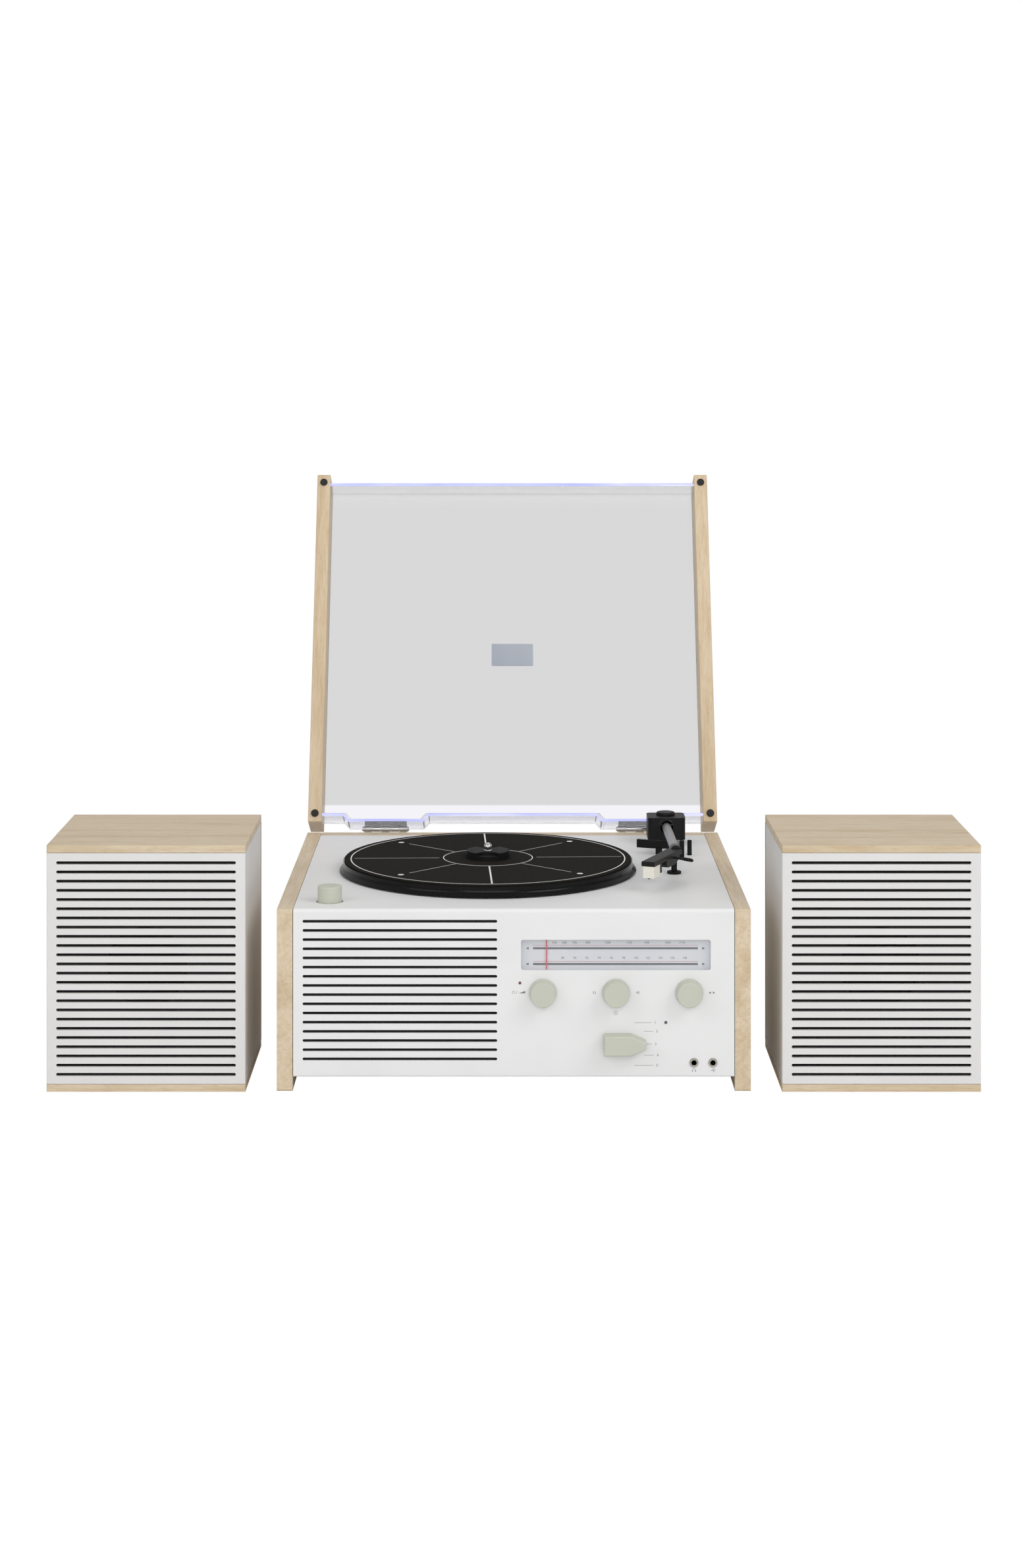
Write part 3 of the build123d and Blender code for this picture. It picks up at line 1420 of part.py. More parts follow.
# One driver in each speaker: a basket with its magnet, and a paper cone inside it
driver_rear = baffle_back + driver_depth
cone_front_radius = driver_hole_radius - 2.0
cone_rear_radius = 10.0
cone_depth = 14.0
with BuildPart() as speaker_drivers:
    for centre_x in (-speaker_x, speaker_x):
        driver_axis = Axis((centre_x, 0, box_z), (0, 1, 0))
        with BuildSketch(Plane(origin=(centre_x, 0, box_z), x_dir=(1, 0, 0), z_dir=(0, 0, 1))):
            with BuildLine():
                Polyline(
                    (0, y_at(driver_rear)),
                    (driver_magnet_radius, y_at(driver_rear)),
                    (driver_magnet_radius, y_at(driver_rear - 16.0)),
                    (driver_hole_radius, y_at(baffle_back + driver_flange)),
                    (driver_radius, y_at(baffle_back + driver_flange)),
                    (driver_radius, y_at(baffle_back)),
                    (driver_hole_radius - 1.0, y_at(baffle_back)),
                    (driver_magnet_radius - 3.0, y_at(driver_rear - 18.0)),
                    (0, y_at(driver_rear - 18.0)),
                    close=True,
                )
            make_face()
        revolve(axis=driver_axis)
        with BuildSketch(Plane(origin=(centre_x, 0, box_z), x_dir=(1, 0, 0), z_dir=(0, 0, 1))):
            with BuildLine():
                Polyline(
                    (cone_front_radius, y_at(baffle_back)),
                    (cone_rear_radius, y_at(baffle_back + cone_depth)),
                    (0, y_at(baffle_back + cone_depth)),
                    (0, y_at(baffle_back + cone_depth - cone_thickness)),
                    (cone_rear_radius, y_at(baffle_back + cone_depth - cone_thickness)),
                    (cone_front_radius, y_at(baffle_back - cone_thickness)),
                    close=True,
                )
            make_face()
        revolve(axis=driver_axis)
speaker_drivers.part.label = "speaker_drivers"
export_step(speaker_drivers.part, "parts/speaker_drivers.step")

# A terminal cup in each speaker's back, with two sockets
with BuildPart() as speaker_terminals:
    for centre_x in (-speaker_x, speaker_x):
        with BuildSketch(front_plane(speaker_back)):
            with Locations((centre_x, terminal_z)):
                RectangleRounded(terminal_width, terminal_height, 3.0)
        extrude(amount=-terminal_proud)
        with BuildSketch(front_plane(speaker_back + terminal_proud)):
            with Locations((centre_x, terminal_z)):
                with GridLocations(terminal_spacing, 1, 2, 1):
                    Circle(2 * terminal_bore_radius)
                    Circle(terminal_bore_radius, mode=Mode.SUBTRACT)
        extrude(amount=-terminal_length)
speaker_terminals.part.label = "speaker_terminals"
export_step(speaker_terminals.part, "parts/speaker_terminals.step")
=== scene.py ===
import json
import math

import bmesh
import bpy
from mathutils import Matrix, Vector


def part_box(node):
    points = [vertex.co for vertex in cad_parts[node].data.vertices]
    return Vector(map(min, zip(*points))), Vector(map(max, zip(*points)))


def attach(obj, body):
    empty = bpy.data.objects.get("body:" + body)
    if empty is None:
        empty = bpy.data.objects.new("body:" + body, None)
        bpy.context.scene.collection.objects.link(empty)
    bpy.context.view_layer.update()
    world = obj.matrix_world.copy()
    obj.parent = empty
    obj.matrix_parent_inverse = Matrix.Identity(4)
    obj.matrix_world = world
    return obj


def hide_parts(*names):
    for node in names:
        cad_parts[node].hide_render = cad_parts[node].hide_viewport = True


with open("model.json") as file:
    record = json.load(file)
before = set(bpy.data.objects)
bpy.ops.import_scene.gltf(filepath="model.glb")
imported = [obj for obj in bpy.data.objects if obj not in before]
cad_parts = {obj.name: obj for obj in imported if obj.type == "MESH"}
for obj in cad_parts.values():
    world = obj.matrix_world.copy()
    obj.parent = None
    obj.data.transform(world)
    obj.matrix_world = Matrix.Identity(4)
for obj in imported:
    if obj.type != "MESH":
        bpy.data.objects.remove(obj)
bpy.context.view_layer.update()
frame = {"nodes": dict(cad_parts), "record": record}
nodes = frame["nodes"]
joints = {joint["name"]: joint for joint in frame["record"]["behaviour"]["joints"]}

MM = 0.001
INK = 0.04 * MM
SEGMENTS = 64

# Places taken from the frame
front_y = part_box("top_shell")[0].y
back_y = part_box("rear_board")[1].y
cabinet_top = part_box("top_shell")[1].z
platter_low, platter_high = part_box("platter")
platter_x = (platter_low.x + platter_high.x) / 2
platter_y = (platter_low.y + platter_high.y) / 2
mat_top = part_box("felt_mat")[1].z
hinge = joints["lid_hinge"]
lid_angle = math.radians(hinge["range_deg"][1])
lid_place = Matrix.Translation(hinge["pos_m"]) @ Matrix.Rotation(-lid_angle, 4, "X")


def linear(value):
    """An sRGB hex colour as linear red, green, blue and alpha."""
    parts = [int(value[i : i + 2], 16) / 255 for i in (1, 3, 5)]
    return [p / 12.92 if p <= 0.04045 else ((p + 0.055) / 1.055) ** 2.4 for p in parts] + [1]


def add_node(tree, kind, values=None, links=None, **settings):
    """Adds one shader node, sets its properties and input values, and links its inputs."""
    made = tree.nodes.new(kind)
    for name, value in settings.items():
        setattr(made, name, value)
    for name, value in (values or {}).items():
        made.inputs[name].default_value = value
    for name, source in (links or {}).items():
        tree.links.new(source, made.inputs[name])
    return made


def new_material(name, **values):
    """A material with one Principled shader whose constant inputs are set on the shader itself."""
    material = bpy.data.materials.new(name)
    material.use_nodes = True
    tree = material.node_tree
    tree.nodes.clear()
    shader = add_node(tree, "ShaderNodeBsdfPrincipled", {k.replace("_", " "): v for k, v in values.items()})
    add_node(tree, "ShaderNodeOutputMaterial", links={"Surface": shader.outputs["BSDF"]})
    return material, tree, shader


def stretched(tree, size_mm, stretch=(1, 1, 1), turn=(0, 0, 0)):
    """Object coordinates scaled so that one unit is size_mm, longer along the axes that stretch says."""
    place = add_node(tree, "ShaderNodeTexCoord")
    scale = [1 / (size_mm * MM * s) for s in stretch]
    turned = add_node(tree, "ShaderNodeMapping", {"Rotation": turn}, {"Vector": place.outputs["Object"]})
    return add_node(tree, "ShaderNodeMapping", {"Scale": scale}, {"Vector": turned.outputs["Vector"]}).outputs[
        "Vector"
    ]


def noise(tree, vector, detail=3.0, roughness=0.5):
    made = add_node(
        tree,
        "ShaderNodeTexNoise",
        {"Scale": 1.0, "Detail": detail, "Roughness": roughness},
        {"Vector": vector},
    )
    return made.outputs["Fac"]


def ramp(tree, source, *stops):
    """A colour ramp whose stops are pairs of position and hex colour."""
    made = add_node(tree, "ShaderNodeValToRGB", links={"Fac": source})
    points = made.color_ramp.elements
    while len(points) < len(stops):
        points.new(0.5)
    for point, (place, value) in zip(points, stops):
        point.position = place
        point.color = linear(value)
    return made.outputs["Color"]


def spread(tree, source, low, high, new_low, new_high):
    made = add_node(
        tree,
        "ShaderNodeMapRange",
        {"From Min": low, "From Max": high, "To Min": new_low, "To Max": new_high},
        {"Value": source},
    )
    return made.outputs["Result"]


def blend_colours(tree, factor, first, second, mode="MIX"):
    made = add_node(tree, "ShaderNodeMix", data_type="RGBA", blend_type=mode)
    for socket, value in ((made.inputs[0], factor), (made.inputs[6], first), (made.inputs[7], second)):
        if isinstance(value, (int, float, list)):
            socket.default_value = value
        else:
            tree.links.new(value, socket)
    return made.outputs[2]


def bump(tree, shader, height, depth_mm, strength=1.0):
    made = add_node(
        tree,
        "ShaderNodeBump",
        {"Strength": strength, "Distance": depth_mm * MM},
        {"Height": height},
    )
    tree.links.new(made.outputs["Normal"], shader.inputs["Normal"])


def maple(name, along, light, dark, edge_turn=(0, 0, 0)):
    """Light maple veneer under satin lacquer: quiet figure along the grain, short pores and a soft sheen."""
    material, tree, shader = new_material(name, Coat_Weight=0.25, Coat_Roughness=0.35)
    grain = [1.0, 1.0, 1.0]
    grain["XYZ".index(along)] = 14.0
    figure = noise(tree, stretched(tree, 22.0, grain, edge_turn), 4.0, 0.55)
    streak = noise(tree, stretched(tree, 3.2, grain, edge_turn), 3.0, 0.6)
    pore = noise(tree, stretched(tree, 0.7, grain, edge_turn), 2.0, 0.6)
    broad = ramp(tree, figure, (0.32, light), (0.5, light), (0.68, dark))
    tint = ramp(tree, streak, (0.35, "#EFE6DA"), (0.6, "#FFFFFF"))
    fine = ramp(tree, pore, (0.32, "#DCCFBC"), (0.46, "#FFFFFF"))
    colour = blend_colours(tree, 0.7, broad, tint, "MULTIPLY")
    colour = blend_colours(tree, 0.45, colour, fine, "MULTIPLY")
    tree.links.new(colour, shader.inputs["Base Color"])
    tree.links.new(spread(tree, pore, 0.3, 0.7, 0.52, 0.42), shader.inputs["Roughness"])
    bump(tree, shader, pore, 0.03, 0.35)
    return material


def moulded(name, colour, shade, grit_mm=0.35, rough=(0.4, 0.5), depth_mm=0.012, **values):
    """Moulded plastic or sprayed paint: a fine grit in the surface, and a slight drift of tone across it."""
    material, tree, shader = new_material(name, **values)
    drift = noise(tree, stretched(tree, 60.0), 2.0)
    grit = noise(tree, stretched(tree, grit_mm), 2.0, 0.6)
    tone = ramp(tree, drift, (0.35, colour), (0.65, shade))
    tree.links.new(tone, shader.inputs["Base Color"])
    tree.links.new(spread(tree, grit, 0.3, 0.7, *rough), shader.inputs["Roughness"])
    bump(tree, shader, grit, depth_mm, 0.6)
    return material


def metal(name, colour, shade, stretch, line_mm=0.25, rough=(0.15, 0.3), turn=(0, 0, 0)):
    """Bare metal with drawn or brushed lines, which run along the axis that stretch makes long."""
    material, tree, shader = new_material(name, Metallic=1.0)
    lines = noise(tree, stretched(tree, line_mm, stretch, turn), 3.0, 0.6)
    tree.links.new(ramp(tree, lines, (0.3, colour), (0.7, shade)), shader.inputs["Base Color"])
    tree.links.new(spread(tree, lines, 0.3, 0.7, *rough), shader.inputs["Roughness"])
    bump(tree, shader, lines, 0.004, 0.5)
    return material


def turned_black(name, centre, ring_mm):
    """Black polystyrene turned bright: faint rings about the spindle catch the light as thin arcs."""
    material, tree, shader = new_material(name, Specular_IOR_Level=0.16)
    place = add_node(tree, "ShaderNodeTexCoord")
    centred = add_node(
        tree, "ShaderNodeMapping", {"Location": [-c for c in centre]}, {"Vector": place.outputs["Object"]}
    )
    flat = add_node(
        tree, "ShaderNodeVectorMath", {1: (1, 1, 0)}, {0: centred.outputs["Vector"]}, operation="MULTIPLY"
    )
    radius = add_node(tree, "ShaderNodeVectorMath", links={0: flat.outputs[0]}, operation="LENGTH")
    count = add_node(
        tree,
        "ShaderNodeMath",
        {1: 2 * math.pi / (ring_mm * MM)},
        {0: radius.outputs["Value"]},
        operation="MULTIPLY",
    )
    wave = add_node(tree, "ShaderNodeMath", links={0: count.outputs[0]}, operation="SINE").outputs[0]
    dust = noise(tree, stretched(tree, 1.4), 3.0, 0.6)
    tree.links.new(ramp(tree, dust, (0.4, "#0A0A0B"), (0.75, "#111112")), shader.inputs["Base Color"])
    tree.links.new(spread(tree, dust, 0.3, 0.7, 0.16, 0.26), shader.inputs["Roughness"])
    bump(tree, shader, wave, 0.006, 0.35)
    return material


def felt(name, colour, fibre_colour):
    """Pressed wool felt: short fibres lying every way, a dull face and a little lint."""
    material, tree, shader = new_material(
        name, Sheen_Weight=0.01, Sheen_Roughness=0.5, Specular_IOR_Level=0.06
    )
    fibres = noise(tree, stretched(tree, 0.9, (1, 3, 1), (0, 0, 0.6)), 4.0, 0.7)
    cross = noise(tree, stretched(tree, 0.9, (3, 1, 1), (0, 0, -0.4)), 4.0, 0.7)
    lint = add_node(
        tree,
        "ShaderNodeTexVoronoi",
        {"Scale": 1.0, "Randomness": 1.0},
        {"Vector": stretched(tree, 9.0)},
        feature="F1",
    )
    nap = add_node(tree, "ShaderNodeMath", links={0: fibres, 1: cross}, operation="MAXIMUM").outputs[0]
    body = ramp(tree, nap, (0.42, colour), (0.75, fibre_colour))
    specks = ramp(tree, lint.outputs["Distance"], (0.02, "#6A665F"), (0.035, "#000000"))
    tree.links.new(blend_colours(tree, 0.5, body, specks, "ADD"), shader.inputs["Base Color"])
    tree.links.new(spread(tree, nap, 0.3, 0.7, 0.85, 0.95), shader.inputs["Roughness"])
    bump(tree, shader, nap, 0.12, 0.7)
    return material


def fibreboard(name, colour, shade):
    """Bare medium-density board: brown dust and short fibres pressed flat."""
    material, tree, shader = new_material(name)
    chips = noise(tree, stretched(tree, 1.6), 5.0, 0.75)
    tree.links.new(ramp(tree, chips, (0.3, shade), (0.7, colour)), shader.inputs["Base Color"])
    tree.links.new(spread(tree, chips, 0.3, 0.7, 0.8, 0.7), shader.inputs["Roughness"])
    bump(tree, shader, chips, 0.05, 0.5)
    return material


def grille_cloth(name):
    """Black acoustic cloth behind the slots: a plain weave, drawn at 1.2 mm so that it shows."""
    material, tree, shader = new_material(name, Sheen_Weight=0.1)
    weave = [
        add_node(
            tree,
            "ShaderNodeTexWave",
            {"Scale": 1.0, "Distortion": 0.4, "Detail": 1.0},
            {"Vector": stretched(tree, 1.2 * math.pi * 2)},
            wave_type="BANDS",
            bands_direction=direction,
        ).outputs["Fac"]
        for direction in "XZ"
    ]
    crossing = add_node(tree, "ShaderNodeMath", links={0: weave[0], 1: weave[1]}, operation="MULTIPLY").outputs[0]
    tree.links.new(ramp(tree, crossing, (0.1, "#050505"), (0.9, "#141414")), shader.inputs["Base Color"])
    tree.links.new(spread(tree, crossing, 0, 1, 0.95, 0.8), shader.inputs["Roughness"])
    bump(tree, shader, crossing, 0.1, 0.6)
    return material


def clear_acrylic(name, tint, low_tint, fold_z, scratch_mm, rough, through=0.5):
    """Cast acrylic sheet, polished: nearly clear, with fine wipe marks. Below fold_z the thin wall is paler."""
    material, tree, shader = new_material(
        name, Transmission_Weight=1.0, IOR=1.49, Specular_IOR_Level=0.5, Alpha=through
    )
    wipe = noise(tree, stretched(tree, scratch_mm, (1, 6, 6), (0.5, 0.2, 0.3)), 4.0, 0.7)
    place = add_node(tree, "ShaderNodeTexCoord")
    height = add_node(tree, "ShaderNodeSeparateXYZ", links={"Vector": place.outputs["Object"]}).outputs["Z"]
    share = spread(tree, height, fold_z - 0.5 * MM, fold_z + 0.5 * MM, 0, 1)
    tree.links.new(ramp(tree, share, (0.0, low_tint), (1.0, tint)), shader.inputs["Base Color"])
    tree.links.new(spread(tree, wipe, 0.45, 0.75, *rough), shader.inputs["Roughness"])
    return material


def window_pane(name, colour, shade):
    """Thin flat acrylic window: its face is lost but for a faint haze and the gloss of the room."""
    material, tree, shader = new_material(name, Alpha=0.1, Specular_IOR_Level=0.5)
    haze = noise(tree, stretched(tree, 5.0, (4, 1, 1)), 3.0, 0.6)
    tree.links.new(ramp(tree, haze, (0.35, colour), (0.7, shade)), shader.inputs["Base Color"])
    tree.links.new(spread(tree, haze, 0.3, 0.7, 0.05, 0.12), shader.inputs["Roughness"])
    return material


def glowing_edge(name):
    """Cut edge of violet-tinted acrylic with a painted glow: the edge emits its own tint, standing in for the
    room's light that the edge gathers and shines with.
    """
    material, tree, shader = new_material(name, Roughness=0.25, Emission_Strength=0.5)
    streaks = noise(tree, stretched(tree, 8.0, (12, 1, 1)), 3.0, 0.6)
    tone = ramp(tree, streaks, (0.3, "#9FA3EE"), (0.55, "#B7BAF4"), (0.75, "#D3D5FA"))
    tree.links.new(tone, shader.inputs["Base Color"])
    # Painted glow: the violet tint is also emitted, so the edge shines though no lamp is in it
    tree.links.new(tone, shader.inputs["Emission Color"])
    return material


def ink(name, colour, worn):
    """Screen-printed ink: flat and dull, slightly thin where the screen's mesh left its grain."""
    material, tree, shader = new_material(name)
    mesh = noise(tree, stretched(tree, 0.25), 2.0, 0.6)
    tree.links.new(ramp(tree, mesh, (0.35, colour), (0.75, worn)), shader.inputs["Base Color"])
    tree.links.new(spread(tree, mesh, 0.3, 0.7, 0.5, 0.6), shader.inputs["Roughness"])
    return material


def lens(name, node, middle, rim):
    """Small domed lamp lens: a lighter middle where the lamp sits, and a dark rim."""
    material, tree, shader = new_material(name, Coat_Weight=0.6, Roughness=0.2)
    low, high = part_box(node)
    centre = low.lerp(high, 0.5)
    place = add_node(tree, "ShaderNodeTexCoord")
    offset = add_node(
        tree, "ShaderNodeVectorMath", {1: centre}, {0: place.outputs["Object"]}, operation="SUBTRACT"
    )
    flat = add_node(tree, "ShaderNodeVectorMath", {1: (1, 0, 1)}, {0: offset.outputs[0]}, operation="MULTIPLY")
    far = add_node(tree, "ShaderNodeVectorMath", links={0: flat.outputs[0]}, operation="LENGTH")
    share = spread(tree, far.outputs["Value"], 0, 1.1 * MM, 0, 1)
    tree.links.new(ramp(tree, share, (0.3, middle), (0.75, rim)), shader.inputs["Base Color"])
    return material


# Finishes, each named for the real material
maple_across = maple("maple_veneer_grain_across", "X", "#D9C8AC", "#CDB897")
maple_deep = maple("maple_veneer_grain_front_to_back", "Y", "#DCCBB0", "#CFBA9A")
maple_lid = maple("maple_veneer_grain_along_lid", "Y", "#DBC7A9", "#CDB693", (lid_angle, 0, 0))
white_paint = moulded("white_powder_coat_on_steel", "#E9E9E9", "#E6E6E6", 0.5, (0.42, 0.5), 0.01)
white_laminate = moulded("white_laminate_on_board", "#E1E0DF", "#DEDDDC", 0.6, (0.45, 0.52), 0.008)
sage_plastic = moulded("abs_moulded_sage_grey", "#C3C6B7", "#C0C3B4", 0.3, (0.42, 0.5), 0.012)
black_plastic = moulded(
    "abs_moulded_black_satin", "#121213", "#171718", 0.3, (0.36, 0.46), 0.015, Specular_IOR_Level=0.2
)
dull_black = moulded(
    "polypropylene_moulded_black", "#0E0E0F", "#131314", 0.4, (0.5, 0.62), 0.02, Specular_IOR_Level=0.18
)
mouth_plastic = moulded("abs_moulded_black_polished", "#1B1B1D", "#222224", 0.3, (0.22, 0.3), 0.01)
collar_grey = moulded("zinc_cast_sprayed_grey", "#6B6C70", "#77787C", 0.3, (0.32, 0.42), 0.012, Metallic=0.4)
gloss_platter = turned_black("polystyrene_turned_black", (platter_x, platter_y, 0), 2.2)
off_white = moulded("abs_moulded_ivory", "#E8E5DA", "#E4E0D3", 0.3, (0.3, 0.38), 0.01)
dial_white = moulded("polystyrene_sprayed_pale_grey", "#E0E2E6", "#DCDEE3", 0.4, (0.45, 0.55), 0.008)
red_plastic = moulded("acrylic_moulded_red", "#D2304A", "#C92A44", 0.3, (0.2, 0.3), 0.004)
rubber = moulded("nitrile_rubber_moulded_black", "#141414", "#191919", 0.5, (0.6, 0.75), 0.02)
frosted = moulded(
    "polycarbonate_frosted_pale", "#B9C0CC", "#C4CAD4", 0.4, (0.5, 0.6), 0.02, Transmission_Weight=0.35
)
solder_resist = moulded("glass_epoxy_green", "#14532A", "#1A5F33", 0.4, (0.3, 0.4), 0.01)
black_felt = felt("wool_felt_black", "#151311", "#28251F")
bare_board = fibreboard("fibreboard_bare_brown", "#A58762", "#8B6E4B")
black_cloth = grille_cloth("acoustic_cloth_black")
chrome = metal("chrome_plate_polished", "#BDBDC0", "#98989C", (8, 1, 1), 0.6, (0.06, 0.12))
nickel = metal("nickel_plate_on_brass", "#CFC9BB", "#C2BBAA", (1, 1, 1), 0.5, (0.18, 0.28))
steel = metal("steel_turned_bright", "#C8C8C8", "#B8B8B8", (6, 6, 1), 0.3, (0.12, 0.22))
satin_tube = metal("aluminium_anodised_satin", "#BFBFC2", "#ADADB0", (1, 12, 1), 0.4, (0.34, 0.44))
zinc = metal("zinc_plate_dull", "#A9ABAD", "#96989A", (1, 1, 1), 1.0, (0.4, 0.55))
brass = metal("brass_turned", "#C9A463", "#B48F50", (6, 6, 1), 0.3, (0.2, 0.3))
lid_fold_z = 166 * MM
lid_acrylic = clear_acrylic(
    "acrylic_sheet_clear_polished", "#B2B2B3", "#ECEAF4", lid_fold_z, 6.0, (0.0, 0.03)
)
dial_acrylic = window_pane("acrylic_window_clear_polished", "#E6E8EC", "#D9DCE2")
# Violet tint of the acrylic, with a painted glow on the cut edges
violet_edge_painted_glow = glowing_edge("acrylic_cut_edge_violet_painted_glow")
# Painted shade: dark violet for the lines along the lid's inner edges and folds
violet_painted_shade_line = moulded("acrylic_edge_violet_painted_shade", "#4A4A7C", "#565690", 0.4, (0.2, 0.3), 0.004)
grey_ink = ink("screen_ink_grey", "#707174", "#84858A")
dark_ink = ink("screen_ink_charcoal", "#2A2B33", "#3A3B43")
red_ink = ink("screen_ink_red", "#C4475A", "#CC5B6C")
white_ink = ink("screen_ink_white", "#ECECEC", "#D6D6D6")
red_lens = lens("lamp_lens_red", "power_light", "#A03038", "#2A1214")
dark_lens = lens("lamp_lens_smoke", "mode_light", "#6A6C70", "#26272A")
paper_cone = fibreboard("paper_pulp_cone_black", "#1C1C1D", "#121213")

finishes = {
    "left_side_panel": maple_deep,
    "right_side_panel": maple_deep,
    "left_lid_rail": maple_lid,
    "right_lid_rail": maple_lid,
    "left_speaker_boards": maple_across,
    "right_speaker_boards": maple_across,
    "rear_board": maple_across,
    "base_board": bare_board,
    "left_speaker_back": bare_board,
    "right_speaker_back": bare_board,
    "top_shell": white_paint,
    "left_speaker_shell": white_laminate,
    "right_speaker_shell": white_laminate,
    "grille_backing": black_cloth,
    "left_speaker_baffle": black_cloth,
    "right_speaker_baffle": black_cloth,
    "speaker_drivers": paper_cone,
    "speaker_terminals": dull_black,
    "cabinet_feet": rubber,
    "lid_bumpers": rubber,
    "drive_belt": rubber,
    "dial_window": dial_acrylic,
    "dial_plate": dial_white,
    "tuning_pointer": red_plastic,
    "volume_knob": sage_plastic,
    "speed_knob": sage_plastic,
    "tune_knob": sage_plastic,
    "selector_knob": sage_plastic,
    "start_button": sage_plastic,
    "start_switch": dull_black,
    "rotary_controls": zinc,
    "tuning_capacitor": zinc,
    "motor": zinc,
    "motor_pulley": brass,
    "bearing_well": brass,
    "power_light": red_lens,
    "mode_light": dark_lens,
    "front_jacks": dull_black,
    "platter": gloss_platter,
    "felt_mat": black_felt,
    "spindle": steel,
    "adapter_45": dull_black,
    "tonearm_base": dull_black,
    "tonearm_housing": black_plastic,
    "tonearm_tube": satin_tube,
    "headshell": black_plastic,
    "finger_lift": dull_black,
    "cartridge": off_white,
    "stylus": dull_black,
    "arm_rest": dull_black,
    "cue_lever": dull_black,
    "cue_platform": dull_black,
    "lid_panel": lid_acrylic,
    "lid_badge": frosted,
    "lid_leaves": chrome,
    "cabinet_leaves": chrome,
    "hinge_pins": chrome,
    "main_board": solder_resist,
    "terminal_plate": dull_black,
    "rear_sockets": nickel,
}
for name, finish in finishes.items():
    for slot in nodes[name].material_slots:
        slot.material = finish


def on_front(x, z):
    """A place on the cabinet's front in millimetres, with local x right, y up and z to the viewer."""
    return Matrix.Translation((x * MM, front_y, z * MM)) @ Matrix.Rotation(math.pi / 2, 4, "X")


def upright(x, y, z):
    return Matrix.Translation((x, y, z))


def size(x, y, z):
    return Matrix.Diagonal((x, y, z, 1))


def add_block(mesh, place, width, height, depth):
    """A block centred on place."""
    bmesh.ops.create_cube(mesh, size=1, matrix=place @ size(width, height, depth))


def add_disc(mesh, place, radius, depth, tip=None, segments=SEGMENTS):
    """A disc or cone that stands on place along its local z."""
    bmesh.ops.create_cone(
        mesh,
        cap_ends=True,
        segments=segments,
        radius1=radius,
        radius2=radius if tip is None else tip,
        depth=depth,
        matrix=place @ Matrix.Translation((0, 0, depth / 2)),
    )


def add_turned(mesh, place, profile, closed=False, angle=2 * math.pi, segments=SEGMENTS, start=0.0):
    """Spins a profile of radius and height pairs about place's local z."""
    full = abs(angle - 2 * math.pi) < 1e-6
    turn = Matrix.Rotation(start, 4, "Z")
    verts = [mesh.verts.new(turn @ Vector((r, 0, z))) for r, z in profile]
    edges = [mesh.edges.new(pair) for pair in zip(verts, verts[1:])]
    if closed:
        edges.append(mesh.edges.new((verts[-1], verts[0])))
    if closed and not full:
        faces = [mesh.faces.new(verts)]
    else:
        faces = []
    before = set(mesh.verts) - set(verts)
    bmesh.ops.spin(
        mesh,
        geom=verts + edges + faces,
        cent=(0, 0, 0),
        axis=(0, 0, 1),
        angle=angle,
        steps=segments,
        use_merge=full,
        use_duplicate=False,
    )
    made = [v for v in mesh.verts if v not in before]
    bmesh.ops.remove_doubles(mesh, verts=made, dist=0.001 * MM)
    made = [v for v in mesh.verts if v not in before]
    bmesh.ops.transform(mesh, matrix=place, verts=made)


def add_ring(mesh, place, inner, outer, depth, angle=2 * math.pi, start=0.0, segments=SEGMENTS):
    profile = [(inner, 0), (outer, 0), (outer, depth), (inner, depth)]
    add_turned(mesh, place, profile, True, angle, segments, start)


def add_words(mesh, place, words, height, depth=INK):
    """Plain numerals, centred on place, cut from a solid as thick as the ink."""
    curve = bpy.data.curves.new("numerals", "FONT")
    curve.body = words
    curve.size = height / 0.7
    curve.extrude = depth / 2
    curve.align_x = "CENTER"
    curve.align_y = "CENTER"
    curve.resolution_u = 3
    holder = bpy.data.objects.new("numerals", curve)
    bpy.context.scene.collection.objects.link(holder)
    bpy.context.view_layer.update()
    shape = bpy.data.meshes.new_from_object(holder.evaluated_get(bpy.context.evaluated_depsgraph_get()))
    shape.transform(place @ Matrix.Translation((0, 0, depth / 2)))
    mesh.from_mesh(shape)
    bpy.data.objects.remove(holder)
    bpy.data.meshes.remove(shape)
    bpy.data.curves.remove(curve)


def add_outline(mesh, place, points, depth):
    """A flat outline of x, y pairs drawn out along place's local z."""
    face = mesh.faces.new([mesh.verts.new((x, y, 0)) for x, y in points])
    drawn = bmesh.ops.extrude_face_region(mesh, geom=[face])["geom"]
    raised = [v for v in drawn if isinstance(v, bmesh.types.BMVert)]
    bmesh.ops.translate(mesh, vec=(0, 0, depth), verts=raised)
    bmesh.ops.transform(mesh, matrix=place, verts=list(face.verts) + raised)


def finish_piece(name, mesh, body, material, smooth=True, replaces=()):
    """Turns a mesh into a finished piece that rides a body."""
    bmesh.ops.remove_doubles(mesh, verts=mesh.verts, dist=0.0005 * MM)
    bmesh.ops.recalc_face_normals(mesh, faces=mesh.faces)
    data = bpy.data.meshes.new(name)
    mesh.to_mesh(data)
    mesh.free()
    if smooth:
        data.shade_smooth()
        data.set_sharp_from_angle(angle=math.radians(35))
    data.materials.append(material)
    made = bpy.data.objects.new(name, data)
    bpy.context.scene.collection.objects.link(made)
    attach(made, body)
    for node in replaces:
        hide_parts(node)
    return made


# Marks printed on the front: plain numerals and signs round the controls
volume_mark = (3.8, 81.2)
speed_mark = (81.9, 64.6)
tune_mark = (159.2, 80.8)
plug_marks = ((144.8, 18.6), (160.0, 18.6))
numeral_height = 2.1 * MM
line_width = 0.28 * MM
# Each line's left end, right end and height
selector_lines = (
    (97.0, 110.6, 56.8),
    (104.6, 112.0, 49.9),
    (106.5, 111.0, 39.5),
    (104.7, 112.6, 30.5),
    (96.8, 112.2, 22.4),
)
speed_numerals = (("33", 64.6), ("45", 99.7))
speed_numeral_z = 80.8
numeral_gap = 3.0

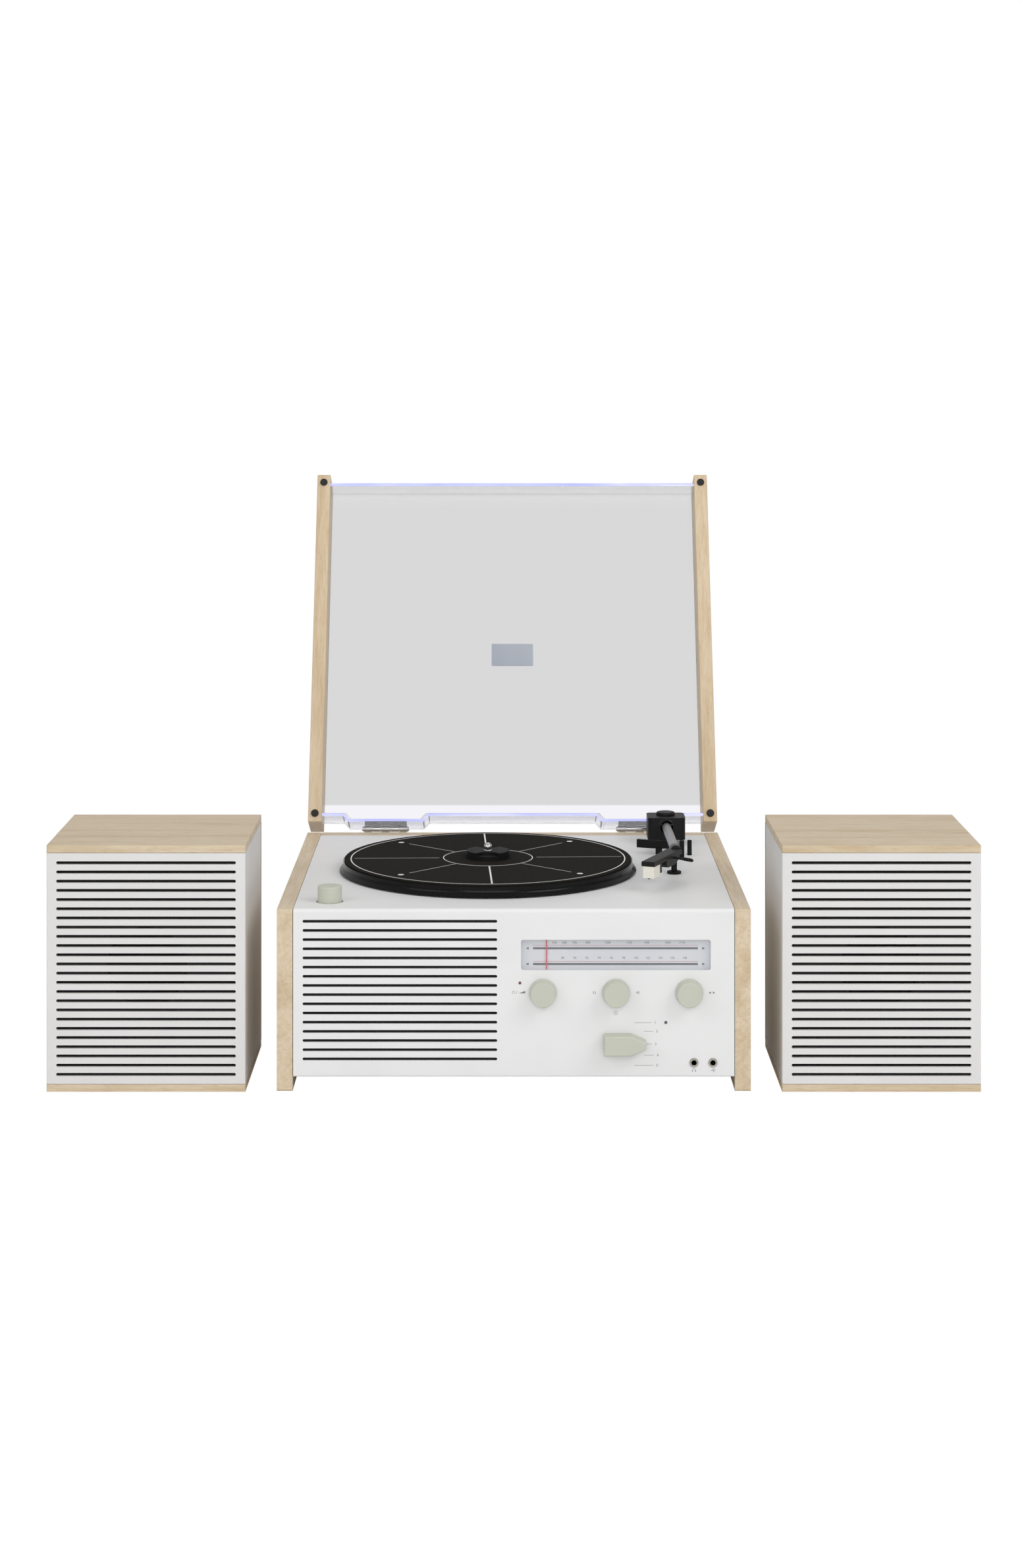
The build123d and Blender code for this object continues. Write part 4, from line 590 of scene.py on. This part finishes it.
marks = bmesh.new()
for number, (left, right, z) in enumerate(selector_lines, 1):
    add_block(marks, on_front((left + right) / 2, z), (right - left) * MM, line_width, INK)
    add_words(marks, on_front(right + numeral_gap, z), str(number), numeral_height)
for words, x in speed_numerals:
    add_words(marks, on_front(x, speed_numeral_z), words, numeral_height)

# A power mark, a slanted stroke and a wedge for the volume
power_x, power_z = volume_mark
power_left = 4.0
open_ring = math.radians(290)
open_start = math.radians(125)
add_ring(
    marks, on_front(power_x - power_left, power_z), 0.95 * MM, 1.2 * MM, INK, open_ring, open_start, 24
)
add_block(marks, on_front(power_x - power_left, power_z + 0.9), line_width, 1.2 * MM, INK)
slant = Matrix.Rotation(-0.35, 4, "Z")
add_block(marks, on_front(power_x - 1.4, power_z) @ slant, line_width, 2.6 * MM, INK)
wedge = [(-2.6 * MM, -0.9 * MM), (2.6 * MM, -0.9 * MM), (2.6 * MM, 1.1 * MM)]
add_outline(marks, on_front(power_x + 2.8, power_z), wedge, INK)

# A ring with a dot for the speed, and two arrowheads for the tuning
add_ring(marks, on_front(*speed_mark), 1.35 * MM, 1.6 * MM, INK, segments=32)
add_disc(marks, on_front(*speed_mark), 0.4 * MM, INK, segments=16)
for side in (-1, 1):
    arrow = [(side * 0.8 * MM, -1.0 * MM), (side * 2.6 * MM, 0), (side * 0.8 * MM, 1.0 * MM)]
    add_outline(marks, on_front(*tune_mark), arrow, INK)

# Headphones and a round arrow under the two jacks
phones_x, phones_z = plug_marks[0]
add_ring(marks, on_front(phones_x, phones_z), 1.15 * MM, 1.4 * MM, INK, math.pi, 0, 20)
for side in (-1, 1):
    add_block(marks, on_front(phones_x + side * 1.25, phones_z - 0.6), 0.6 * MM, 1.3 * MM, INK)
line_x, line_z = plug_marks[1]
add_block(marks, on_front(line_x - 0.9, line_z), 1.8 * MM, line_width, INK)
head_place = on_front(line_x + 0.4, line_z)
add_outline(marks, head_place, [(-0.6 * MM, -0.8 * MM), (0.6 * MM, 0), (-0.6 * MM, 0.8 * MM)], INK)
add_ring(marks, head_place, 1.25 * MM, 1.5 * MM, INK, math.radians(220), math.radians(-110), 20)
finish_piece("control_marks", marks, "cabinet", grey_ink, smooth=False)

# A short dotted mark in front of the push button
button_low, button_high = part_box("start_button")
button_x = (button_low.x + button_high.x) / 2
dot_count, dot_pitch, dot_radius = 9, 0.9 * MM, 0.2 * MM
dot_y = button_low.y - 5.0 * MM
dots = bmesh.new()
for i in range(dot_count):
    dot_x = button_x + (i - dot_count // 2) * dot_pitch
    add_disc(dots, upright(dot_x, dot_y, cabinet_top), dot_radius, INK, segments=10)
finish_piece("button_dots", dots, "cabinet", grey_ink, smooth=False)

# Dial scale on the tray's floor
dial_floor = front_y + 5.2 * MM
scale_left, scale_right = 15.5, 148.3
upper_numbers = (
    (530, 32.8),
    (600, 40.8),
    (700, 49.0),
    (800, 59.7),
    (1000, 75.6),
    (1200, 92.9),
    (1400, 106.9),
    (1600, 124.0),
    (1710, 135.4),
)
lower_first, lower_pitch, lower_count = 39.4, 9.82, 11
lower_start, lower_step = 88, 2
bar_height, thin_height = 1.6 * MM, 0.3 * MM
tick_width, tick_height = 0.25 * MM, 0.5 * MM
arrow_gap = 4.5
# Each row's thin red line, dark bar and numerals, by their heights
scale_rows = ((117.7, 115.4, 119.9), (104.8, 102.7, 107.6))
dial_numeral = 1.75 * MM


def on_dial(x, z):
    return Matrix.Translation((x * MM, dial_floor, z * MM)) @ Matrix.Rotation(math.pi / 2, 4, "X")


scale_dark = bmesh.new()
scale_red = bmesh.new()
scale_middle = (scale_left + scale_right) / 2
scale_length = (scale_right - scale_left) * MM
for thin_z, bar_z, _ in scale_rows:
    add_block(scale_dark, on_dial(scale_middle, bar_z), scale_length, bar_height, INK)
    add_block(scale_red, on_dial(scale_middle, thin_z), scale_length, thin_height, INK)
lower_numbers = [(lower_start + lower_step * i, lower_first + i * lower_pitch) for i in range(lower_count)]
for (thin_z, _, numeral_z), numbers in zip(scale_rows, (upper_numbers, lower_numbers)):
    for number, x in numbers:
        add_words(scale_dark, on_dial(x, numeral_z), str(number), dial_numeral)
        add_block(scale_dark, on_dial(x, thin_z), tick_width, tick_height, INK * 1.5)
for side, x in ((-1, scale_left - arrow_gap), (1, scale_right + arrow_gap)):
    for _, bar_z, _ in scale_rows:
        arrow = [(-side * 1.0 * MM, -1.1 * MM), (side * 1.2 * MM, 0), (-side * 1.0 * MM, 1.1 * MM)]
        add_outline(scale_dark, on_dial(x, bar_z), arrow, INK)
finish_piece("dial_scale_dark", scale_dark, "cabinet", dark_ink, smooth=False)
finish_piece("dial_scale_red", scale_red, "cabinet", red_ink, smooth=False)

# Pattern printed on the mat: two rings, eight spokes and four dots, turned a little as it lies
mat_turn = math.radians(2)
print_place = upright(platter_x, platter_y, mat_top) @ Matrix.Rotation(mat_turn, 4, "Z")
dot_ring, mat_dot = 106 * MM, 2.6 * MM
# Each spoke's angle, inner and outer end, and width
spokes = (
    (0, 42, 115, 0.6),
    (90, 40, 116, 1.4),
    (180, 42, 115, 0.6),
    (270, 40, 116, 1.4),
    (45, 40, 96, 0.6),
    (135, 40, 96, 0.6),
    (225, 40, 96, 0.6),
    (315, 40, 96, 0.6),
)
mat_print = bmesh.new()
add_ring(mat_print, print_place, 117.6 * MM, 118.6 * MM, INK, segments=160)
add_ring(mat_print, print_place, 38.0 * MM, 38.8 * MM, INK, segments=96)
for angle, inner, outer, width in spokes:
    turn = Matrix.Rotation(math.radians(angle), 4, "Z")
    middle = Matrix.Translation(((inner + outer) / 2 * MM, 0, 0))
    add_block(mat_print, print_place @ turn @ middle, (outer - inner) * MM, width * MM, INK)
    if angle % 90:
        dot_place = print_place @ turn @ Matrix.Translation((dot_ring, 0, 0))
        add_disc(mat_print, dot_place, mat_dot, INK, segments=24)
finish_piece("mat_print", mat_print, "platter", white_ink, smooth=False)

# Spindle with a ball tip on a fluted neck
spindle_low, spindle_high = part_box("spindle")
shaft = (spindle_high.x - spindle_low.x) / 2
journal = shaft - 0.6 * MM
hub_bottom = platter_low.z
tip = spindle_high.z
flute_count, flute_radius, flute_length = 8, 0.35 * MM, 1.6 * MM
spindle_mesh = bmesh.new()
dome = [
    (shaft * math.cos(math.radians(a)), tip - shaft + shaft * math.sin(math.radians(a)))
    for a in (-28, -10, 10, 30, 50, 68, 82)
]
spindle_profile = [
    (0, spindle_low.z),
    (journal - 0.4 * MM, spindle_low.z),
    (journal, spindle_low.z + 0.4 * MM),
    (journal, hub_bottom),
    (shaft, hub_bottom),
    (shaft, tip - 6.6 * MM),
    (shaft * 0.93, tip - 6.2 * MM),
    (shaft * 0.72, tip - 5.6 * MM),
    *dome,
    (0, tip),
]
add_turned(spindle_mesh, upright(platter_x, platter_y, 0), spindle_profile, segments=40)
for i in range(flute_count):
    turn = Matrix.Rotation(i * 2 * math.pi / flute_count, 4, "Z")
    flute_place = upright(platter_x, platter_y, 0) @ turn @ Matrix.Translation((shaft * 0.8, 0, tip - 5.9 * MM))
    add_disc(spindle_mesh, flute_place, flute_radius, flute_length, segments=12)
finish_piece("spindle_fluted", spindle_mesh, "platter", steel, replaces=["spindle"])

# Chrome rims of the two front jacks
jack_x = (144.8, 160.0)
jack_z = 24.6
rims = bmesh.new()
for x in jack_x:
    rim = [
        (2.25 * MM, 0.6 * MM),
        (3.3 * MM, 0.2 * MM),
        (3.4 * MM, 0.55 * MM),
        (3.2 * MM, 0.85 * MM),
        (2.6 * MM, 0.95 * MM),
        (2.25 * MM, 0.85 * MM),
    ]
    add_turned(rims, on_front(x, jack_z), rim, True, segments=40)
finish_piece("jack_rims", rims, "cabinet", nickel)

# Violet cut edges of the lid's tray, with a painted glow: its front lip and its rear wall round the hinges.
# Heights and depths are in the closed lid's own frame, from the hinge's axis.
hinge_drop, rail_drop, tray_rise = 1.5 * MM, 3.0 * MM, 2.0 * MM
rail_low = hinge_drop - rail_drop
tray_edge = rail_low + tray_rise
tray_half = 177.7 * MM
lip_front = -342.3 * MM
wall_back = -12.2 * MM
wall_thickness = 3.0 * MM
pocket_reach = 5.5 * MM
pocket_x = 118.0 * MM
pocket_outer, pocket_inner = 35.0 * MM, 40.0 * MM
glow_depth = 0.12 * MM
glow_inset = 0.15 * MM


def rear_line(back):
    line = [(-tray_half, back)]
    for centre in (-pocket_x, pocket_x):
        line += [
            (centre - pocket_inner, back),
            (centre - pocket_outer, back + pocket_reach),
            (centre + pocket_outer, back + pocket_reach),
            (centre + pocket_inner, back),
        ]
    return line + [(tray_half, back)]


glow = bmesh.new()
lip = [
    (-tray_half, lip_front + glow_inset),
    (tray_half, lip_front + glow_inset),
    (tray_half, lip_front + wall_thickness - glow_inset),
    (-tray_half, lip_front + wall_thickness - glow_inset),
]
glow_place = lid_place @ Matrix.Translation((0, 0, tray_edge - glow_depth))
add_outline(glow, glow_place, lip, glow_depth)
outer_line = rear_line(wall_back - glow_inset)
inner_line = rear_line(wall_back - wall_thickness + glow_inset)
add_outline(glow, glow_place, outer_line + inner_line[::-1], glow_depth)
finish_piece("lid_cut_edges_painted_glow", glow, "lid", violet_edge_painted_glow, smooth=False)

# Painted shade: the inner corner of the cut edges, and each fold of the rear wall, shows as a dark violet line
shade_line = bmesh.new()
line_inset = wall_thickness - 0.9 * MM
shade_place = lid_place @ Matrix.Translation((0, 0, tray_edge - glow_depth / 2))
inner_edge, outer_edge = rear_line(wall_back - line_inset), rear_line(wall_back - wall_thickness + 0.1 * MM)
add_outline(shade_line, shade_place, inner_edge + outer_edge[::-1], glow_depth)
# Painted shade: a dark violet strip down the rear wall at each of its folds
fold_shade_width, wall_middle, wall_height = 0.7 * MM, 12 * MM, 23 * MM
for x, y in rear_line(wall_back - wall_thickness / 2)[1:-1]:
    place = lid_place @ Matrix.Translation((x, y, tray_edge + wall_middle))
    add_block(shade_line, place, fold_shade_width, wall_thickness - 0.4 * MM, wall_height)
finish_piece("lid_edge_painted_shade_lines", shade_line, "lid", violet_painted_shade_line, smooth=False)

# Screws of the hinge leaves
leaf_screw, screw_head = 1.9 * MM, 0.6 * MM
screw_spread = 12 * MM


def add_leaf_screws(name, body, base, y, rows):
    """Countersunk heads on both hinges' leaves, two to a row, in the frame that base gives."""
    screws = bmesh.new()
    for centre in (-pocket_x, pocket_x):
        for dx in (-screw_spread, screw_spread):
            for z in rows:
                place = base @ Matrix.Translation((centre + dx, y, z)) @ Matrix.Rotation(-math.pi / 2, 4, "X")
                add_disc(screws, place, leaf_screw, screw_head, leaf_screw * 0.6, 24)
    finish_piece(name, screws, body, chrome)


add_leaf_screws("lid_leaf_screws", "lid", lid_place, -5.5 * MM, (5 * MM, 13 * MM))
add_leaf_screws("cabinet_leaf_screws", "cabinet", Matrix.Identity(4), back_y + 1.2 * MM, (129 * MM, 139 * MM))

# Tonearm: rings round the tube's mouth, a grey collar behind the headshell and a grip on its lift rod
arm_pivot = Vector(joints["tonearm_lift"]["pos_m"])
tube_shift, tube_length, tube_rise = -1.5 * MM, 175 * MM, 7.9 * MM
tube_radius = 4.0 * MM
tube_line = Vector((tube_shift, -tube_length, tube_rise))
mouth_front = 18.0 * MM


def along_tube(reach):
    """A place on the tube's axis, reach from its pivot, with local z towards the headshell."""
    turn = tube_line.to_track_quat("Z", "Y").to_matrix().to_4x4()
    return Matrix.Translation(arm_pivot + tube_line.normalized() * reach) @ turn


mouth = bmesh.new()
mouth_rise = tube_rise * mouth_front / tube_length
mouth_place = upright(arm_pivot.x, arm_pivot.y - mouth_front, arm_pivot.z + mouth_rise) @ Matrix.Rotation(
    math.pi / 2, 4, "X"
)
for inner, outer in ((5.9 * MM, 6.9 * MM), (7.5 * MM, 8.3 * MM)):
    ring = [(inner, -0.6 * MM), (outer, -0.6 * MM), (outer - 0.1 * MM, 0.5 * MM)]
    ring += [((inner + outer) / 2, 0.8 * MM), (inner + 0.1 * MM, 0.5 * MM)]
    add_turned(mouth, mouth_place, ring, True, segments=48)
finish_piece("housing_mouth_rings", mouth, "tonearm_carrier", mouth_plastic)

collar_reach, collar_length = 157.5 * MM, 10.0 * MM
collar = bmesh.new()
collar_profile = [
    (tube_radius - 0.3 * MM, 0),
    (tube_radius + 0.5 * MM, 0),
    (tube_radius + 0.8 * MM, 0.4 * MM),
    (tube_radius + 0.8 * MM, collar_length - 3.0 * MM),
    (tube_radius + 0.4 * MM, collar_length - 2.6 * MM),
    (tube_radius + 0.4 * MM, collar_length),
    (tube_radius - 0.3 * MM, collar_length),
]
add_turned(collar, along_tube(collar_reach), collar_profile, True, segments=48)
finish_piece("tube_collar", collar, "tonearm", collar_grey)

rod_low, rod_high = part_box("finger_lift")
rod_line = Vector((1, -0.18, -0.14)).normalized()
grip_length, grip_radius = 8.0 * MM, 1.5 * MM
grip_end = Vector((rod_high.x, rod_low.y + 1.1 * MM, rod_low.z + 1.1 * MM)) - rod_line * 0.3 * MM
grip = bmesh.new()
dome = [
    (grip_radius * math.cos(math.radians(a)), grip_length - grip_radius + grip_radius * math.sin(math.radians(a)))
    for a in (0, 30, 60)
]
grip_profile = [(0, 0), (grip_radius * 0.75, 0), (grip_radius, 0.6 * MM), *dome, (0, grip_length)]
grip_turn = rod_line.to_track_quat("Z", "Y").to_matrix().to_4x4()
grip_place = Matrix.Translation(grip_end - rod_line * grip_length) @ grip_turn
add_turned(grip, grip_place, grip_profile, segments=24)
finish_piece("finger_lift_grip", grip, "tonearm", dull_black)

# The world, floor, lights and camera


def seen_straight(tree):
    """1 for rays from the camera or through clear plastic, so that the room stays white behind the object."""
    rays = add_node(tree, "ShaderNodeLightPath")
    seen = add_node(
        tree,
        "ShaderNodeMath",
        links={0: rays.outputs["Is Camera Ray"], 1: rays.outputs["Is Transmission Ray"]},
        operation="MAXIMUM",
    )
    return seen.outputs[0]


world = bpy.data.worlds.new("studio")
bpy.context.scene.world = world
world.use_nodes = True
sky = world.node_tree
sky.nodes.clear()
seen = seen_straight(sky)
room = add_node(sky, "ShaderNodeBackground", {"Color": (1, 1, 1, 1), "Strength": 0.5})
white = add_node(sky, "ShaderNodeBackground", {"Color": (1, 1, 1, 1), "Strength": 1.0})
chosen = add_node(sky, "ShaderNodeMixShader", links={0: seen, 1: room.outputs[0], 2: white.outputs[0]})
add_node(sky, "ShaderNodeOutputWorld", links={"Surface": chosen.outputs[0]})

floor_mesh = bmesh.new()
floor_half = 6.0
bmesh.ops.create_grid(floor_mesh, x_segments=1, y_segments=1, size=floor_half)
floor_data = bpy.data.meshes.new("studio_floor")
floor_mesh.to_mesh(floor_data)
floor_mesh.free()
floor = bpy.data.objects.new("studio_floor", floor_data)
bpy.context.scene.collection.objects.link(floor)
paper = bpy.data.materials.new("white_paper_floor")
paper.use_nodes = True
tree = paper.node_tree
tree.nodes.clear()
seen = seen_straight(tree)
matt = add_node(tree, "ShaderNodeBsdfDiffuse", {"Color": (0.8, 0.8, 0.8, 1)})
shine = add_node(tree, "ShaderNodeEmission", {"Color": (1, 1, 1, 1), "Strength": 1.0})
chosen = add_node(tree, "ShaderNodeMixShader", links={0: seen, 1: matt.outputs[0], 2: shine.outputs[0]})
add_node(tree, "ShaderNodeOutputMaterial", links={"Surface": chosen.outputs[0]})
floor_data.materials.append(paper)


def add_softbox(name, place, aim, width, height, watts):
    light = bpy.data.lights.new(name, "AREA")
    light.shape = "RECTANGLE"
    light.size = width
    light.size_y = height
    light.energy = watts
    holder = bpy.data.objects.new(name, light)
    holder.location = place
    holder.rotation_euler = (Vector(aim) - Vector(place)).to_track_quat("-Z", "Y").to_euler()
    bpy.context.scene.collection.objects.link(holder)


lit_point = (0, 0, 0.15)
add_softbox("softbox_right", (1.6, -1.3, 1.7), lit_point, 1.2, 1.2, 16)
add_softbox("softbox_left", (-1.7, -1.5, 1.5), lit_point, 1.4, 1.4, 10)
add_softbox("softbox_top", (0, 0.2, 2.2), lit_point, 1.6, 1.2, 5)
add_softbox("softbox_front", (0, -3.4, 1.1), lit_point, 2.4, 1.4, 26)

# The photograph was taken level, from high up, with the picture shifted down
focal_px, image_height_px, image_width_px = 4216, 2380, 1552
axis_x_px, axis_y_px = 767, 520
camera_x, camera_ahead, camera_height = -7 * MM, 2231 * MM, 603 * MM
film = 36.0
camera_data = bpy.data.cameras.new("camera")
camera_data.sensor_width = film
camera_data.lens = film * focal_px / image_height_px
camera_data.shift_x = (image_width_px / 2 - axis_x_px) / image_height_px
camera_data.shift_y = (axis_y_px - image_height_px / 2) / image_height_px
camera_data.clip_end = 50
camera = bpy.data.objects.new("camera", camera_data)
camera.location = (camera_x, front_y - camera_ahead, camera_height)
camera.rotation_euler = (math.pi / 2, 0, 0)
bpy.context.scene.collection.objects.link(camera)
bpy.context.scene.camera = camera
bpy.context.scene.view_settings.view_transform = "Standard"
